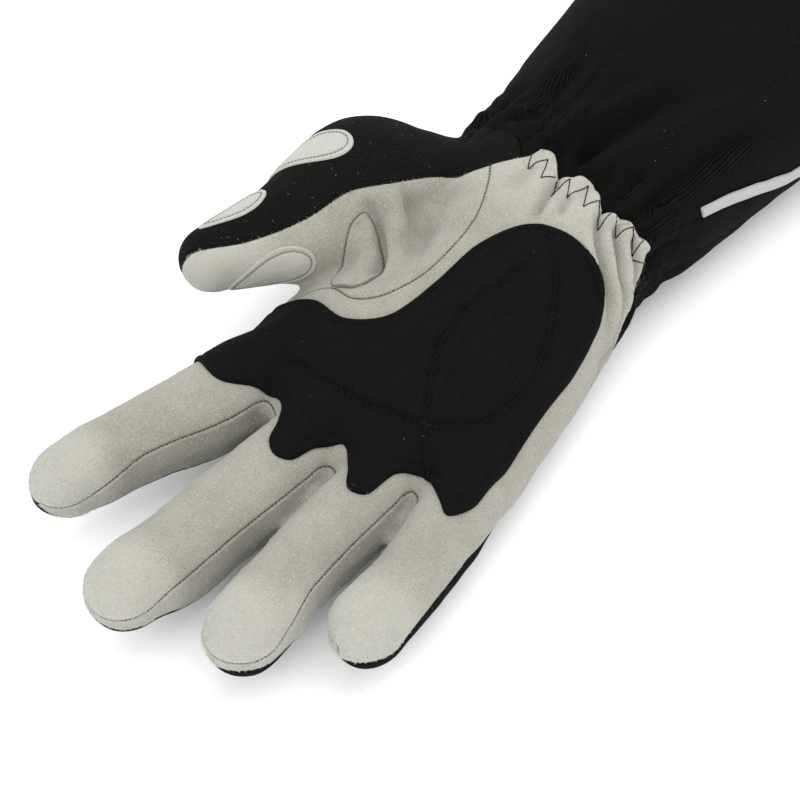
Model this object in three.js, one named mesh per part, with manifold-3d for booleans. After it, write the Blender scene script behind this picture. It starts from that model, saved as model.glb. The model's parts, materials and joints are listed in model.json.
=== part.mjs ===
// A racing glove for the right hand, filled as if worn, lying on its back with the palm up.
// Millimetres, +Z up. The origin is on the surface that the glove lies on, under the middle of the hand.
// The fingers point along -Y, the cuff opens along +Y, and the thumb is on the -X side.
import * as THREE from "three";
import { mergeVertices } from "three/addons/utils/BufferGeometryUtils.js";
import Module from "manifold-3d";

const wasm = await Module();
wasm.setup();

// Driving dimensions
const wall = 2.2; // suede or knit together with its lining
const seamGap = 0.3; // between two panels that are sewn together
const patchThick = 1.5; // suede laid on top of a panel
const labelThick = 0.7; // folded ribbon
const wristSeamY = 36; // where the hand's panels are sewn to the cuff
const knuckleY = -70; // end of the hand's own form, between the fingers
const hemY = 176; // the cuff's open end
const hemWidth = 20; // turned-in band at the open end
const hemExtra = 0.9; // how much thicker that band is
const gatherFolds = 12; // small folds round the wrist, drawn up by the elastic
const cuffFolds = 4; // long soft folds that run from the elastic up the cuff
const sides = {
  body: 36,
  handLining: 24,
  finger: 12,
  thumb: 14,
  fingerLining: 8,
  thumbLining: 10,
};
const above = 90; // past the outside of the glove, upwards and sideways
const beneath = -5; // below the surface that it lies on
const overlap = 1; // by which solids that are joined or cut run into each other

// The hand and the cuff: one section for each row, square to Y.
// y: place, x: middle, half: half of the width, mid: height of the widest line,
// up and down: from the widest line to the palm and to the back, square: exponent of the section's superellipse,
// bow: how far the section's ends lag behind its middle,
// gather and fold: depth of the small wrist folds and of the long cuff folds
const bodyRows = [
  { y: knuckleY, x: -0.5, half: 38.5, mid: 18, up: 7, down: 8, square: 2, bow: 15, gather: 0, fold: 0 },
  { y: -62, x: -0.8, half: 42.9, mid: 17.5, up: 12, down: 12, square: 2, bow: 13, gather: 0, fold: 0 },
  { y: -48, x: -1, half: 44.6, mid: 17, up: 17, down: 16, square: 2.05, bow: 9, gather: 0, fold: 0 },
  { y: -25, x: -1.7, half: 40.7, mid: 18, up: 21, down: 19, square: 2.2, bow: 3, gather: 0, fold: 0 },
  { y: 0, x: -3, half: 36, mid: 20, up: 23, down: 21.2, square: 2.4, bow: 0, gather: 0, fold: 0 },
  { y: 22, x: -8, half: 33.5, mid: 23, up: 23, down: 24, square: 2.5, bow: 0, gather: 0.6, fold: 0 },
  { y: 36, x: -12.3, half: 34.3, mid: 26, up: 21, down: 24, square: 2.5, bow: 0, gather: 1.5, fold: 0 },
  { y: 46, x: -13.3, half: 34, mid: 27, up: 20, down: 23, square: 2.5, bow: 0, gather: 1.8, fold: 0.3 },
  { y: 58, x: -14, half: 36.2, mid: 27, up: 22, down: 25, square: 2.4, bow: 0, gather: 0.8, fold: 1.3 },
  { y: 80, x: -16.8, half: 39, mid: 28, up: 25, down: 29, square: 2.4, bow: 0, gather: 0.1, fold: 1.6 },
  { y: 120, x: -20, half: 43.5, mid: 30, up: 28, down: 31.5, square: 2.4, bow: 0, gather: 0, fold: 0.8 },
  { y: hemY, x: -23.5, half: 50, mid: 32, up: 30, down: 33.5, square: 2.4, bow: 0, gather: 0, fold: 0 },
];
const handRings = [-70, -65, -57, -44, -26, -6, 14, 27];
const handLiningRings = [-70, -61, -44, -22, 4, 24];
const cuffRings = [41, 46, 52, 60, 74, 96, 124];

// The fingers and the thumb: points along the middle of each, with half of the width and of the thickness there.
// The last row is the end of the tip.
const tubeRows = {
  index: [
    { x: -26, y: -36, z: 18, wide: 13, deep: 13 },
    { x: -29.5, y: -60, z: 19, wide: 12.6, deep: 12.6 },
    { x: -31.3, y: -74.6, z: 19.5, wide: 12.1, deep: 12.1 },
    { x: -34, y: -86.5, z: 20, wide: 10.8, deep: 11 },
    { x: -35.3, y: -99, z: 21.5, wide: 10.1, deep: 10.4 },
    { x: -35.6, y: -109, z: 23, wide: 10.1, deep: 10 },
    { x: -37.4, y: -124.8, z: 24, wide: 8, deep: 8 },
  ],
  middle: [
    { x: -3, y: -40, z: 18, wide: 12, deep: 13 },
    { x: -3.2, y: -66, z: 19, wide: 12, deep: 12.6 },
    { x: -3.1, y: -82.6, z: 19, wide: 11.8, deep: 12 },
    { x: -2.9, y: -96.7, z: 19, wide: 11.9, deep: 11.8 },
    { x: -2, y: -110.3, z: 20, wide: 12, deep: 11.4 },
    { x: -2.1, y: -122.8, z: 22, wide: 10.8, deep: 10.4 },
    { x: 0, y: -136.6, z: 23, wide: 8, deep: 8 },
  ],
  ring: [
    { x: 15, y: -36, z: 18, wide: 11.6, deep: 13 },
    { x: 18.5, y: -62, z: 19, wide: 11, deep: 12 },
    { x: 20.4, y: -78.6, z: 19, wide: 10.6, deep: 11.4 },
    { x: 22.4, y: -93.4, z: 19, wide: 10.3, deep: 11 },
    { x: 25, y: -105.8, z: 20, wide: 10.7, deep: 10.8 },
    { x: 27.7, y: -116.4, z: 21, wide: 10, deep: 10 },
    { x: 30.2, y: -123.7, z: 22, wide: 8, deep: 8 },
  ],
  little: [
    { x: 26, y: -26, z: 17, wide: 9, deep: 12 },
    { x: 35.8, y: -50, z: 18, wide: 10.2, deep: 12 },
    { x: 39.6, y: -63.2, z: 18, wide: 9.8, deep: 11 },
    { x: 42.4, y: -75.9, z: 18, wide: 9.8, deep: 10.6 },
    { x: 44.6, y: -86.2, z: 19, wide: 10, deep: 10.4 },
    { x: 46.8, y: -93.5, z: 20, wide: 9.6, deep: 10 },
    { x: 49.6, y: -101.2, z: 20, wide: 8, deep: 8 },
  ],
  thumb: [
    { x: -29, y: 37, z: 27, wide: 11, deep: 9 },
    { x: -36, y: 25, z: 28.5, wide: 15, deep: 14.5 },
    { x: -42, y: 14, z: 31, wide: 17, deep: 18.5 },
    { x: -47.5, y: 3, z: 34, wide: 16, deep: 22 },
    { x: -49.5, y: -10, z: 33.8, wide: 14, deep: 18.4 },
    { x: -52, y: -21.8, z: 33, wide: 12.5, deep: 14.8 },
    { x: -56, y: -31.7, z: 32, wide: 11.3, deep: 11.6 },
    { x: -60.8, y: -43.5, z: 31, wide: 10, deep: 9 },
    { x: -64.4, y: -51.6, z: 30, wide: 8, deep: 7 },
  ],
  // The rounded fold that the bent-in thumb pushes up beside its crotch
  fold: [
    { x: -44, y: -1, z: 36, wide: 8, deep: 8 },
    { x: -39, y: -3.5, z: 38.4, wide: 8, deep: 8 },
    { x: -33, y: -4.5, z: 35.3, wide: 8, deep: 8 },
    { x: -26, y: -8, z: 31.6, wide: 8, deep: 8 },
    { x: -17, y: -15, z: 31, wide: 8, deep: 8 },
    { x: -7, y: -24, z: 26, wide: 8, deep: 8 },
  ],
};
const tipLength = 11; // of the rounded end
const ringSteps = { finger: 17, thumb: 11 }; // between two sections
const tipTurns = [32, 64]; // degrees round the tip at which its rings lie
const palmOf = {
  finger: new THREE.Vector3(0, 0, 1), // the way that the palm side of a finger faces
  thumb: new THREE.Vector3(0.93, 0, -0.37),
};

// Seams along each finger and at its tip, in degrees from the middle of its palm side
const seamTurn = { palm: 57, back: 112, palmTip: 88, backTip: 103 };
const backSeamY = -46; // where the back's seams leave the hand's sides for the fingers
// The walls between two fingers, each from its own crotch at y
const fourchettes = [
  { name: "fourchette_index_middle", left: "index", right: "middle", y: -59 },
  { name: "fourchette_middle_ring", left: "middle", right: "ring", y: -60 },
  { name: "fourchette_ring_little", left: "ring", right: "little", y: -51 },
];

// Height of the side seams of the hand and of the cuff, on the thumb's side and on the little finger's side
const handSeam = [
  { y: -80, radial: 13, ulnar: 13 },
  { y: -50, radial: 13, ulnar: 12.5 },
  { y: -20, radial: 14, ulnar: 12.5 },
  { y: 0, radial: 16, ulnar: 13 },
  { y: 17, radial: 20, ulnar: 16.5 },
  { y: 29, radial: 24, ulnar: 26 },
  { y: 37, radial: 27, ulnar: 36 },
];
const cuffSeam = [
  { y: 35, radial: 30, ulnar: 36.5 },
  { y: 57, radial: 29, ulnar: 33 },
  { y: 96, radial: 29, ulnar: 26 },
  { y: 180, radial: 32, ulnar: 27 },
];

// The knit back runs on over the back of the thumb: at each y, the directions in degrees of its two seams
// round the point x, z
const thumbBack = [
  { y: -62, x: -66, z: 29, from: 96, to: 250 },
  { y: -52, x: -64, z: 30, from: 84, to: 250 },
  { y: -46, x: -62, z: 31, from: 66, to: 248 },
  { y: -38, x: -58.5, z: 31.5, from: 56, to: 248 },
  { y: -24, x: -52.6, z: 33, from: 56, to: 248 },
  { y: -10, x: -50, z: 34, from: 59, to: 254 },
  { y: 0, x: -44, z: 33, from: 63, to: 260 },
  { y: 16, x: -33, z: 29, from: 82, to: 268 },
  { y: 26, x: -24, z: 27, from: 90, to: 270 },
  { y: 37, x: -14, z: 26, from: 96, to: 270 },
];

// The thumb's own suede panel is set into the palm along an arc, and ends at the back's seams on the other sides
const thumbPanelArc = [
  { x: -30, y: 30 },
  { x: -21.5, y: 20.5 },
  { x: -15, y: 8.6 },
  { x: -12.6, y: -4 },
  { x: -12.6, y: -16 },
  { x: -15.5, y: -24.5 },
  { x: -22, y: -29 },
  { x: -31.6, y: -28.4 },
  { x: -40, y: -33 },
  { x: -46.5, y: -42 },
  { x: -50, y: -70 },
];
const thumbGusset = [
  { x: -36.6, y: -10.4 },
  { x: -37.2, y: -14.5 },
  { x: -35, y: -20 },
  { x: -32.6, y: -27 },
  { x: -27.5, y: -27 },
  { x: -23.4, y: -24.8 },
  { x: -23.2, y: -20.5 },
  { x: -29, y: -13.8 },
];

// Outline of the black palm patch, from its corner beside the index finger along the fingers and back by the wrist
const palmPatch = [
  { x: -39.5, y: -68 },
  { x: -28.5, y: -70.3 },
  { x: -20.3, y: -62.8 },
  { x: -14.6, y: -62 },
  { x: -8.5, y: -68.5 },
  { x: -5, y: -75 },
  { x: -1, y: -77 },
  { x: 2.2, y: -75 },
  { x: 3.6, y: -67 },
  { x: 7.5, y: -61.2 },
  { x: 14.5, y: -66.5 },
  { x: 19.2, y: -71.3 },
  { x: 23, y: -69.4 },
  { x: 23.8, y: -58.5 },
  { x: 28, y: -53.6 },
  { x: 37, y: -57.4 },
  { x: 42.4, y: -59.4 },
  { x: 45.8, y: -53 },
  { x: 43.9, y: -43 },
  { x: 37.4, y: -21.5 },
  { x: 30.5, y: 2 },
  { x: 23.8, y: 16.4 },
  { x: 12, y: 21 },
  { x: -1.5, y: 15.6 },
  { x: -7.3, y: 2.5 },
  { x: -7.4, y: -14 },
  { x: -10, y: -29 },
  { x: -19, y: -35.4 },
  { x: -31, y: -34 },
  { x: -42, y: -36 },
  { x: -56, y: -42 },
  { x: -56, y: -60 },
];
const palmPatchFloor = 16; // it ends at this height, above the side seam
const gussetFloor = 26; // so does the gusset

// Patches on the thumb: the middle of each, the way it faces, its length and width, how much narrower
// its tail is, and its turn in degrees
const thumbPatches = [
  {
    name: "thumb_pad_patch",
    at: [-45.4, -36.5, 32],
    faces: [0.93, -0.3, 0.2],
    length: 22,
    width: 15,
    tail: 0.2,
    turn: 0,
  },
  {
    name: "thumb_knuckle_patch",
    at: [-58, -6.8, 46],
    faces: [-0.5, -0.1, 0.86],
    length: 22,
    width: 14,
    tail: 0.4,
    turn: 44,
  },
  {
    name: "thumb_nail_patch",
    at: [-61.3, -32, 41.5],
    faces: [-0.55, -0.2, 0.81],
    length: 17,
    width: 10,
    tail: 0.4,
    turn: 25,
  },
];
const patchSides = 20; // of such an oval
const patchReach = 16; // how deep its cut goes through the glove's form

const label = { from: 58, to: 102, width: 4.4 }; // places along the cuff's side seam, and height

const looks = {
  suede: { color: 0xaeada0, roughness: 0.95 },
  knit: { color: 0x1b1c1a, roughness: 0.9 },
  blackSuede: { color: 0x1a1b1b, roughness: 0.92 },
  label: { color: 0xe6e6e2, roughness: 0.6 },
};

// Value of one column of a table at place t of its key column, on a smooth curve through the rows
function sample(rows, key, column, t) {
  const last = rows.length - 1;
  let i = 0;
  while (i < last - 1 && t > rows[i + 1][key]) i++;
  const at = (k) => rows[Math.min(Math.max(k, 0), last)];
  const slope = (k) => (at(k + 1)[column] - at(k - 1)[column]) / (at(k + 1)[key] - at(k - 1)[key]);
  const span = at(i + 1)[key] - at(i)[key];
  const u = (t - at(i)[key]) / span;
  return (
    at(i)[column] * (2 * u ** 3 - 3 * u ** 2 + 1) +
    slope(i) * span * (u ** 3 - 2 * u ** 2 + u) +
    at(i + 1)[column] * (3 * u ** 2 - 2 * u ** 3) +
    slope(i + 1) * span * (u ** 3 - u ** 2)
  );
}

// A closed solid from plain lists of coordinates and corners, with its faces turned outwards
function solid(numbers, indices) {
  const build = (order) =>
    new wasm.Manifold(
      new wasm.Mesh({ numProp: 3, vertProperties: new Float32Array(numbers), triVerts: new Uint32Array(order) }),
    );
  const made = build(indices);
  return made.volume() > 0 ? made : build(indices.slice().reverse());
}

// A closed solid through rings of points, with a flat end on the first and on the last ring
function loft(rings) {
  const count = rings[0].length;
  const middle = (ring) => ring.reduce((sum, p) => sum.add(p), new THREE.Vector3()).divideScalar(count);
  const points = [...rings.flat(), middle(rings[0]), middle(rings[rings.length - 1])];
  const first = points.length - 2;
  const lastRing = (rings.length - 1) * count;
  const faces = [];
  for (let s = 0; s < count; s++) {
    const next = (s + 1) % count;
    faces.push(first, next, s, first + 1, lastRing + s, lastRing + next);
    for (let r = 0; r < lastRing; r += count) {
      faces.push(r + s, r + next, r + count + next, r + s, r + count + next, r + count + s);
    }
  }
  return solid(points.flatMap((p) => p.toArray()), faces);
}

const join = (solids) => solids.reduce((all, one) => all.add(one));
const power = (value, exponent) => Math.sign(value) * Math.abs(value) ** exponent;

// Section of the hand or cuff at y, grown outwards by grow and never lower than the surface below it
function bodyRing(y, grow, count) {
  const row = (column) => sample(bodyRows, "y", column, y);
  const folded = count === sides.body ? 1 : 0;
  return Array.from({ length: count }, (_, i) => {
    const angle = (2 * Math.PI * i) / count;
    const across = power(Math.cos(angle), 2 / row("square"));
    const rise = power(Math.sin(angle), 2 / row("square"));
    const folds = row("gather") * Math.cos(gatherFolds * angle) + row("fold") * Math.cos(cuffFolds * angle + 1);
    const out = grow + folded * folds;
    const height = row("mid") + rise * ((rise > 0 ? row("up") : row("down")) + out);
    return new THREE.Vector3(
      row("x") + across * (row("half") + out),
      y + row("bow") * across ** 2 - (y === knuckleY ? grow : 0),
      Math.max(height, -Math.min(grow, 0)),
    );
  });
}

const body = (grow, places, count = sides.body) => loft(places.map((y) => bodyRing(y, grow, count)));
const hand = (grow) => body(grow, [...handRings, wristSeamY + overlap]);

const wedgePoints = 6; // round the outside of a wedge
const wedgeReach = 3; // past the outside of the finger that it cuts

// Rings round a finger between two turns about its middle line, in degrees from the middle of its palm side.
// A part of a turn is closed over the middle line, which makes a wedge.
function fingerRings(name, grow, startY, turns, spare = 0) {
  const rows = tubeRows[name];
  const palm = name === "thumb" ? palmOf.thumb : palmOf.finger;
  let run = 0;
  const keyed = rows.map((row, i) => {
    if (i) run += Math.hypot(row.x - rows[i - 1].x, row.y - rows[i - 1].y, row.z - rows[i - 1].z);
    return { ...row, run };
  });
  const at = (t, column) => sample(keyed, "run", column, t);
  const place = (t) => new THREE.Vector3(at(t, "x"), at(t, "y"), at(t, "z"));
  const straight = run - tipLength;
  const ringStep = ringSteps[name] ?? ringSteps.finger;
  const ring = (t, share, ahead, tip) => {
    const along = place(t + 0.5).sub(place(t - 0.5)).normalize();
    const front = palm.clone().addScaledVector(along, -palm.dot(along)).normalize();
    const side = front.clone().cross(along);
    const centre = place(t).addScaledVector(along, ahead);
    const points = turns(tip).map((turn) => {
      const angle = THREE.MathUtils.degToRad(turn);
      return centre
        .clone()
        .addScaledVector(side, Math.sin(angle) * (at(t, "wide") + grow) * share)
        .addScaledVector(front, Math.cos(angle) * (at(t, "deep") + grow) * share);
    });
    return points.length === wedgePoints ? [centre, ...points] : points;
  };
  let start = 0;
  while (startY !== undefined && at(start, "y") > startY) start += 0.5;
  const steps = Math.max(2, Math.round((straight - start) / ringStep));
  const stations = Array.from({ length: steps + 1 }, (_, i) => start + ((straight - start) * i) / steps);
  stations[0] -= spare;
  const rings = stations.map((t) => ring(t, 1, 0, 0));
  for (const turn of tipTurns) {
    const angle = THREE.MathUtils.degToRad(turn);
    rings.push(ring(straight, Math.cos(angle), Math.sin(angle) * (tipLength + grow), turn / 90));
  }
  return rings;
}

const wholeTurn = (count) => () => Array.from({ length: count }, (_, i) => (360 * i) / count);
const partTurn = (from, to, fromTip, toTip, count) => (tip) =>
  Array.from({ length: count }, (_, i) => {
    const start = THREE.MathUtils.lerp(from, fromTip, tip);
    const end = THREE.MathUtils.lerp(to, toTip, tip);
    return start + ((end - start) * i) / (count - 1);
  });

const tube = (name, grow, count) => loft(fingerRings(name, grow, undefined, wholeTurn(count)));
const straightFingers = ["index", "middle", "ring", "little"];
const allFingers = (grow, count, thumbCount) =>
  join([...straightFingers.map((name) => tube(name, grow, count)), tube("thumb", grow, thumbCount)]);

// A wedge of a finger that reaches a little past its outside
function wedge(name, startY, from, to, fromTip, toTip, spare) {
  return loft(fingerRings(name, wedgeReach + spare, startY, partTurn(from, to, fromTip, toTip, wedgePoints), spare));
}

// Everything between the floor and the side seams
function below(rows, spare) {
  const radialX = -30; // the seam's height changes between these two places
  const ulnarX = 0;
  return loft(
    rows.map(({ y, radial, ulnar }) =>
      [
        [-above, -above],
        [-above, radial + spare],
        [radialX, radial + spare],
        [ulnarX, ulnar + spare],
        [above, ulnar + spare],
        [above, -above],
      ].map(([x, z]) => new THREE.Vector3(x, y, z)),
    ),
  );
}

// A fan that opens over the back of the thumb
function thumbBackZone(spare) {
  const reach = 45;
  const steps = 8;
  const widen = 6 * spare; // degrees, as far out as the wall is
  return loft(
    thumbBack.map(({ y, x, z, from, to }) => {
      const rim = Array.from({ length: steps + 1 }, (_, i) => {
        const turn = THREE.MathUtils.degToRad(from - widen + ((to - from + 2 * widen) * i) / steps);
        return new THREE.Vector3(x + reach * Math.cos(turn), y, z + reach * Math.sin(turn));
      });
      return [new THREE.Vector3(x, y, z), ...rim];
    }),
  );
}

// A closed outline through the rows, widened by spread, as a prism from low up past the top of the glove
const curveSteps = 2; // between two rows of a smooth outline
function prism(rows, spread, low, smooth = true) {
  const corners = rows.map(({ x, y }) => new THREE.Vector3(x, y, 0));
  const curve = new THREE.CatmullRomCurve3(corners, true, "centripetal");
  const points = smooth ? curve.getPoints(rows.length * curveSteps).slice(0, -1) : corners;
  const area = THREE.ShapeUtils.area(points);
  const wider = points.map((p, i) => {
    const before = points[(i + points.length - 1) % points.length];
    const after = points[(i + 1) % points.length];
    const along = after.clone().sub(before).normalize();
    return new THREE.Vector2(p.x + along.y * spread * Math.sign(area), p.y - along.x * spread * Math.sign(area));
  });
  const shape = new THREE.Shape(wider);
  const geometry = new THREE.ExtrudeGeometry(shape, { depth: above - low, bevelEnabled: false });
  geometry.translate(0, 0, low);
  return solidOf(geometry);
}

function solidOf(geometry) {
  geometry.deleteAttribute("normal");
  geometry.deleteAttribute("uv");
  const merged = mergeVertices(geometry, 1e-3);
  return solid(Array.from(merged.attributes.position.array), Array.from(merged.index.array));
}

// An oval with one pointed end, cut through along the way that the patch faces
function dropPrism({ at, faces, length, width, tail, turn }) {
  const points = Array.from({ length: patchSides }, (_, i) => {
    const angle = (2 * Math.PI * i) / patchSides;
    const taper = 1 - tail * (0.5 - 0.5 * Math.cos(angle));
    return new THREE.Vector2((length / 2) * Math.cos(angle), (width / 2) * Math.sin(angle) * taper);
  });
  const shape = new THREE.Shape(points);
  const geometry = new THREE.ExtrudeGeometry(shape, { depth: patchReach, bevelEnabled: false });
  geometry.translate(0, 0, -patchReach / 2);
  const facing = new THREE.Vector3(...faces).normalize();
  const along = new THREE.Vector3(0, 1, 0).addScaledVector(facing, -facing.y).normalize();
  along.applyAxisAngle(facing, -THREE.MathUtils.degToRad(turn));
  geometry.applyMatrix4(new THREE.Matrix4().makeBasis(along, facing.clone().cross(along), facing));
  geometry.translate(...at);
  return solidOf(geometry);
}

const glove = new THREE.Group();

function piece(name, made, look) {
  const whole = made.decompose().sort((a, b) => b.volume() - a.volume())[0];
  const raw = whole.getMesh();
  const geometry = new THREE.BufferGeometry();
  const places = new Float32Array(raw.numVert * 3);
  for (let i = 0; i < raw.numVert; i++) {
    places.set(raw.vertProperties.subarray(i * raw.numProp, i * raw.numProp + 3), i * 3);
  }
  geometry.setAttribute("position", new THREE.BufferAttribute(places, 3));
  geometry.setIndex(new THREE.BufferAttribute(raw.triVerts, 1));
  const mesh = new THREE.Mesh(geometry, new THREE.MeshStandardMaterial({ metalness: 0, ...looks[look] }));
  mesh.name = name;
  glove.add(mesh);
}

// The hand's form without the cuff, and its wall
const handOutside = (grow) =>
  join([hand(grow), allFingers(grow, sides.finger, sides.thumb), tube("fold", grow, sides.finger)]);
const handInside = body(-wall, [...handLiningRings, wristSeamY + 3 * overlap], sides.handLining).add(
  allFingers(-wall, sides.fingerLining, sides.thumbLining),
);
const slab = (from, to, x, low) =>
  prism([{ x, y: from }, { x: above, y: from }, { x: above, y: to }, { x, y: to }], 0, low, false);
const pastWrist = slab(wristSeamY - seamGap / 2, above, -above, beneath);
const handShell = handOutside(0).subtract(handInside).subtract(pastWrist);

// Zones of the hand's panels; spare widens a zone by a seam's gap
const spareTurn = (seamGap / 10) * THREE.MathUtils.RAD2DEG;
const backZone = (spare) => {
  const turn = spare ? spareTurn : 0;
  const { back, backTip } = seamTurn;
  const wedges = straightFingers.map((name) =>
    wedge(name, backSeamY, back - turn, 360 - back + turn, backTip - turn, 360 - backTip + turn, spare),
  );
  return join([below(handSeam, spare), thumbBackZone(spare), ...wedges]);
};
const fourchetteZone = ({ left, right, y }, spare) => {
  const turn = spare ? spareTurn : 0;
  const { palm, back, palmTip, backTip } = seamTurn;
  const angles = [palm - turn, back, palmTip - turn, backTip];
  const mirrored = [360 - back, 360 - palm + turn, 360 - backTip, 360 - palmTip + turn];
  return wedge(left, y, ...angles, spare).add(wedge(right, y, ...mirrored, spare));
};
const thumbZone = (spare) => {
  const [first, last] = [thumbPanelArc[0], thumbPanelArc[thumbPanelArc.length - 1]];
  return prism([...thumbPanelArc, { x: -above, y: last.y }, { x: -above, y: first.y }], spare, beneath, false);
};
const gussetZone = (spare) => prism(thumbGusset, spare, gussetFloor);

const widerBack = backZone(seamGap);
const front = handShell.subtract(widerBack);
const sideZones = join(fourchettes.map((row) => fourchetteZone(row, seamGap)));
piece("back_panel", handShell.intersect(backZone(0)), "knit");
piece("palm_panel", front.subtract(sideZones).subtract(thumbZone(seamGap)), "suede");
piece("thumb_panel", front.intersect(thumbZone(0)).subtract(gussetZone(seamGap)), "suede");
piece("thumb_gusset", front.intersect(thumbZone(0)).intersect(gussetZone(0)), "suede");
for (const row of fourchettes) piece(row.name, front.intersect(fourchetteZone(row, 0)), "suede");

// Patches lie on the panels
const overPanels = handOutside(seamGap + patchThick).subtract(handOutside(seamGap));
const palmPatchZone = prism(palmPatch, 0, palmPatchFloor).subtract(thumbZone(seamGap));
piece("palm_patch", overPanels.intersect(palmPatchZone), "blackSuede");
for (const row of thumbPatches) {
  piece(row.name, overPanels.intersect(dropPrism(row)).intersect(thumbZone(0)), "suede");
}

// The cuff
const cuffPlaces = [wristSeamY + seamGap / 2, ...cuffRings, hemY - hemWidth, hemY];
const cuffSolid = (grow) => body(grow, cuffPlaces);
const hem = body(hemExtra, [hemY - hemWidth, hemY]);
const cuffShell = cuffSolid(0)
  .add(hem)
  .subtract(body(-wall, [wristSeamY - overlap, ...cuffRings, hemY - hemWidth, hemY + overlap]));
piece("gauntlet_back", cuffShell.intersect(below(cuffSeam, 0)), "knit");
piece("gauntlet_front", cuffShell.subtract(below(cuffSeam, seamGap)), "knit");

// The blank label is caught in the side seam and lies on the front of the cuff
const labelSlab = slab(label.from, label.to, 0, 0);
const labelBand = below(cuffSeam, label.width + seamGap).subtract(below(cuffSeam, seamGap));
piece(
  "care_label",
  cuffSolid(seamGap + labelThick).subtract(cuffSolid(seamGap)).intersect(labelSlab).intersect(labelBand),
  "label",
);

export default glove;
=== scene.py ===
# A right-hand racing glove of grey suede and black knit, lying on its back with the palm up.
import json
import math

import bpy
import numpy as np
from mathutils import Matrix, Vector, kdtree, noise
from mathutils.bvhtree import BVHTree

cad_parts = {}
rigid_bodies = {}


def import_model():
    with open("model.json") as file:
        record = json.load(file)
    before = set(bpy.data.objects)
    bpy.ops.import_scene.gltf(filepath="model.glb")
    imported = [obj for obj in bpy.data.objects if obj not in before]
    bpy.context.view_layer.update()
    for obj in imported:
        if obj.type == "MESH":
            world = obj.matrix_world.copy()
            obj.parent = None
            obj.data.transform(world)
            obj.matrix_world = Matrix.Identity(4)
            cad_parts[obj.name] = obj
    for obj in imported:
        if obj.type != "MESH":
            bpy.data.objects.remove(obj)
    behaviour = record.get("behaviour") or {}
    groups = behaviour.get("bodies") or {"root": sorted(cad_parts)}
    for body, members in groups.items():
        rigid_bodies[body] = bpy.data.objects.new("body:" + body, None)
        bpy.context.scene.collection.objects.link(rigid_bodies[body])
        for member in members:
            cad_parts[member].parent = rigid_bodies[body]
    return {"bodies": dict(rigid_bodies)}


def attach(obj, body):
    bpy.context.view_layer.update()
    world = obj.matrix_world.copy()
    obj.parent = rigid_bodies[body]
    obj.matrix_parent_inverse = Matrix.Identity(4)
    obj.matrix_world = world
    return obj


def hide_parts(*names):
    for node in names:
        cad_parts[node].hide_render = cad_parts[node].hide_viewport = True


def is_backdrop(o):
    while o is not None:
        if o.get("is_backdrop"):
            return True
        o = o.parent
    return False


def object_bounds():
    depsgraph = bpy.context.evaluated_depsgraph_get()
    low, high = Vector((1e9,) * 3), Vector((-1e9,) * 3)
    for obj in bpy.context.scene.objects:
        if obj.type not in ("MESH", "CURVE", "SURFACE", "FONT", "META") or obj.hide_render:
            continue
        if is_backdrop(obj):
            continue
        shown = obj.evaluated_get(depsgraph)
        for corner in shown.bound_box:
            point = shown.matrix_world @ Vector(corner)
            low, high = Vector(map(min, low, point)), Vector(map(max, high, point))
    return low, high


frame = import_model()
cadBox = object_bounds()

mm = 0.001  # every table below is in millimetres, and every mesh is in metres
body = "root" if "root" in frame["bodies"] else sorted(frame["bodies"])[0]
bpy.ops.object.select_all(action="DESELECT")


def table(columns, *rows):
    return {name: np.array([row[i] for row in rows], float) for i, name in enumerate(columns.split())}


def curveThrough(keys, values, at):  # one smooth curve through the rows
    at = np.asarray(at, float)
    last = len(keys) - 1
    i = np.clip(np.searchsorted(keys, at, side="right") - 1, 0, last - 1)
    before = np.maximum(np.arange(last + 1) - 1, 0)
    after = np.minimum(np.arange(last + 1) + 1, last)
    slope = (values[after] - values[before]) / (keys[after] - keys[before])
    span = keys[i + 1] - keys[i]
    u = np.clip((at - keys[i]) / span, -0.5, 1.5)
    rise = 3 * u**2 - 2 * u**3
    return (
        values[i] * (1 - rise)
        + slope[i] * span * (u**3 - 2 * u**2 + u)
        + values[i + 1] * rise
        + slope[i + 1] * span * (u**3 - u**2)
    )


def smoothStep(value, low, high):
    u = np.clip((value - low) / (high - low), 0, 1)
    return u * u * (3 - 2 * u)


def bell(distance, wide):
    return np.exp(-((distance / wide) ** 2))


def unit(vectors):
    length = np.linalg.norm(vectors, axis=-1, keepdims=True)
    return vectors / np.maximum(length, 1e-12)


def runOf(points):  # how far along a line each of its points lies
    return np.concatenate([[0], np.cumsum(np.linalg.norm(np.diff(points, axis=0), axis=1))])


def aboveFloor(points):
    points[:, 2] = np.maximum(points[:, 2], 0)
    return points


# The camera stands where the photograph was taken from
view = {
    "azimuth": 45, "elevation": 50, "distance": 0.7,  # degrees and metres
    "aim": (0, 0, 0.017), "aimPixel": (491, 331), "focal": 2646, "imageSize": 800, "sensor": 36,
}


def placeCamera():
    azimuth, elevation = math.radians(view["azimuth"]), math.radians(view["elevation"])
    level = math.cos(elevation)
    back = Vector((math.sin(azimuth) * level, -math.cos(azimuth) * level, math.sin(elevation)))
    right = Vector((math.cos(azimuth), math.sin(azimuth), 0))
    up = back.cross(right)
    perPixel = view["distance"] / view["focal"]
    across = (view["aimPixel"][0] - view["imageSize"] / 2) * perPixel
    upward = (view["imageSize"] / 2 - view["aimPixel"][1]) * perPixel
    place = Vector(view["aim"]) + back * view["distance"] - right * across - up * upward
    bpy.ops.object.camera_add(location=place, rotation=Matrix((right, up, back)).transposed().to_euler())
    camera = bpy.context.active_object
    camera.name = "photoCamera"
    camera.data.lens = view["focal"] / view["imageSize"] * view["sensor"]
    camera.data.sensor_width = view["sensor"]
    bpy.context.scene.camera = camera


placeCamera()
print("camera placed")

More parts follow.
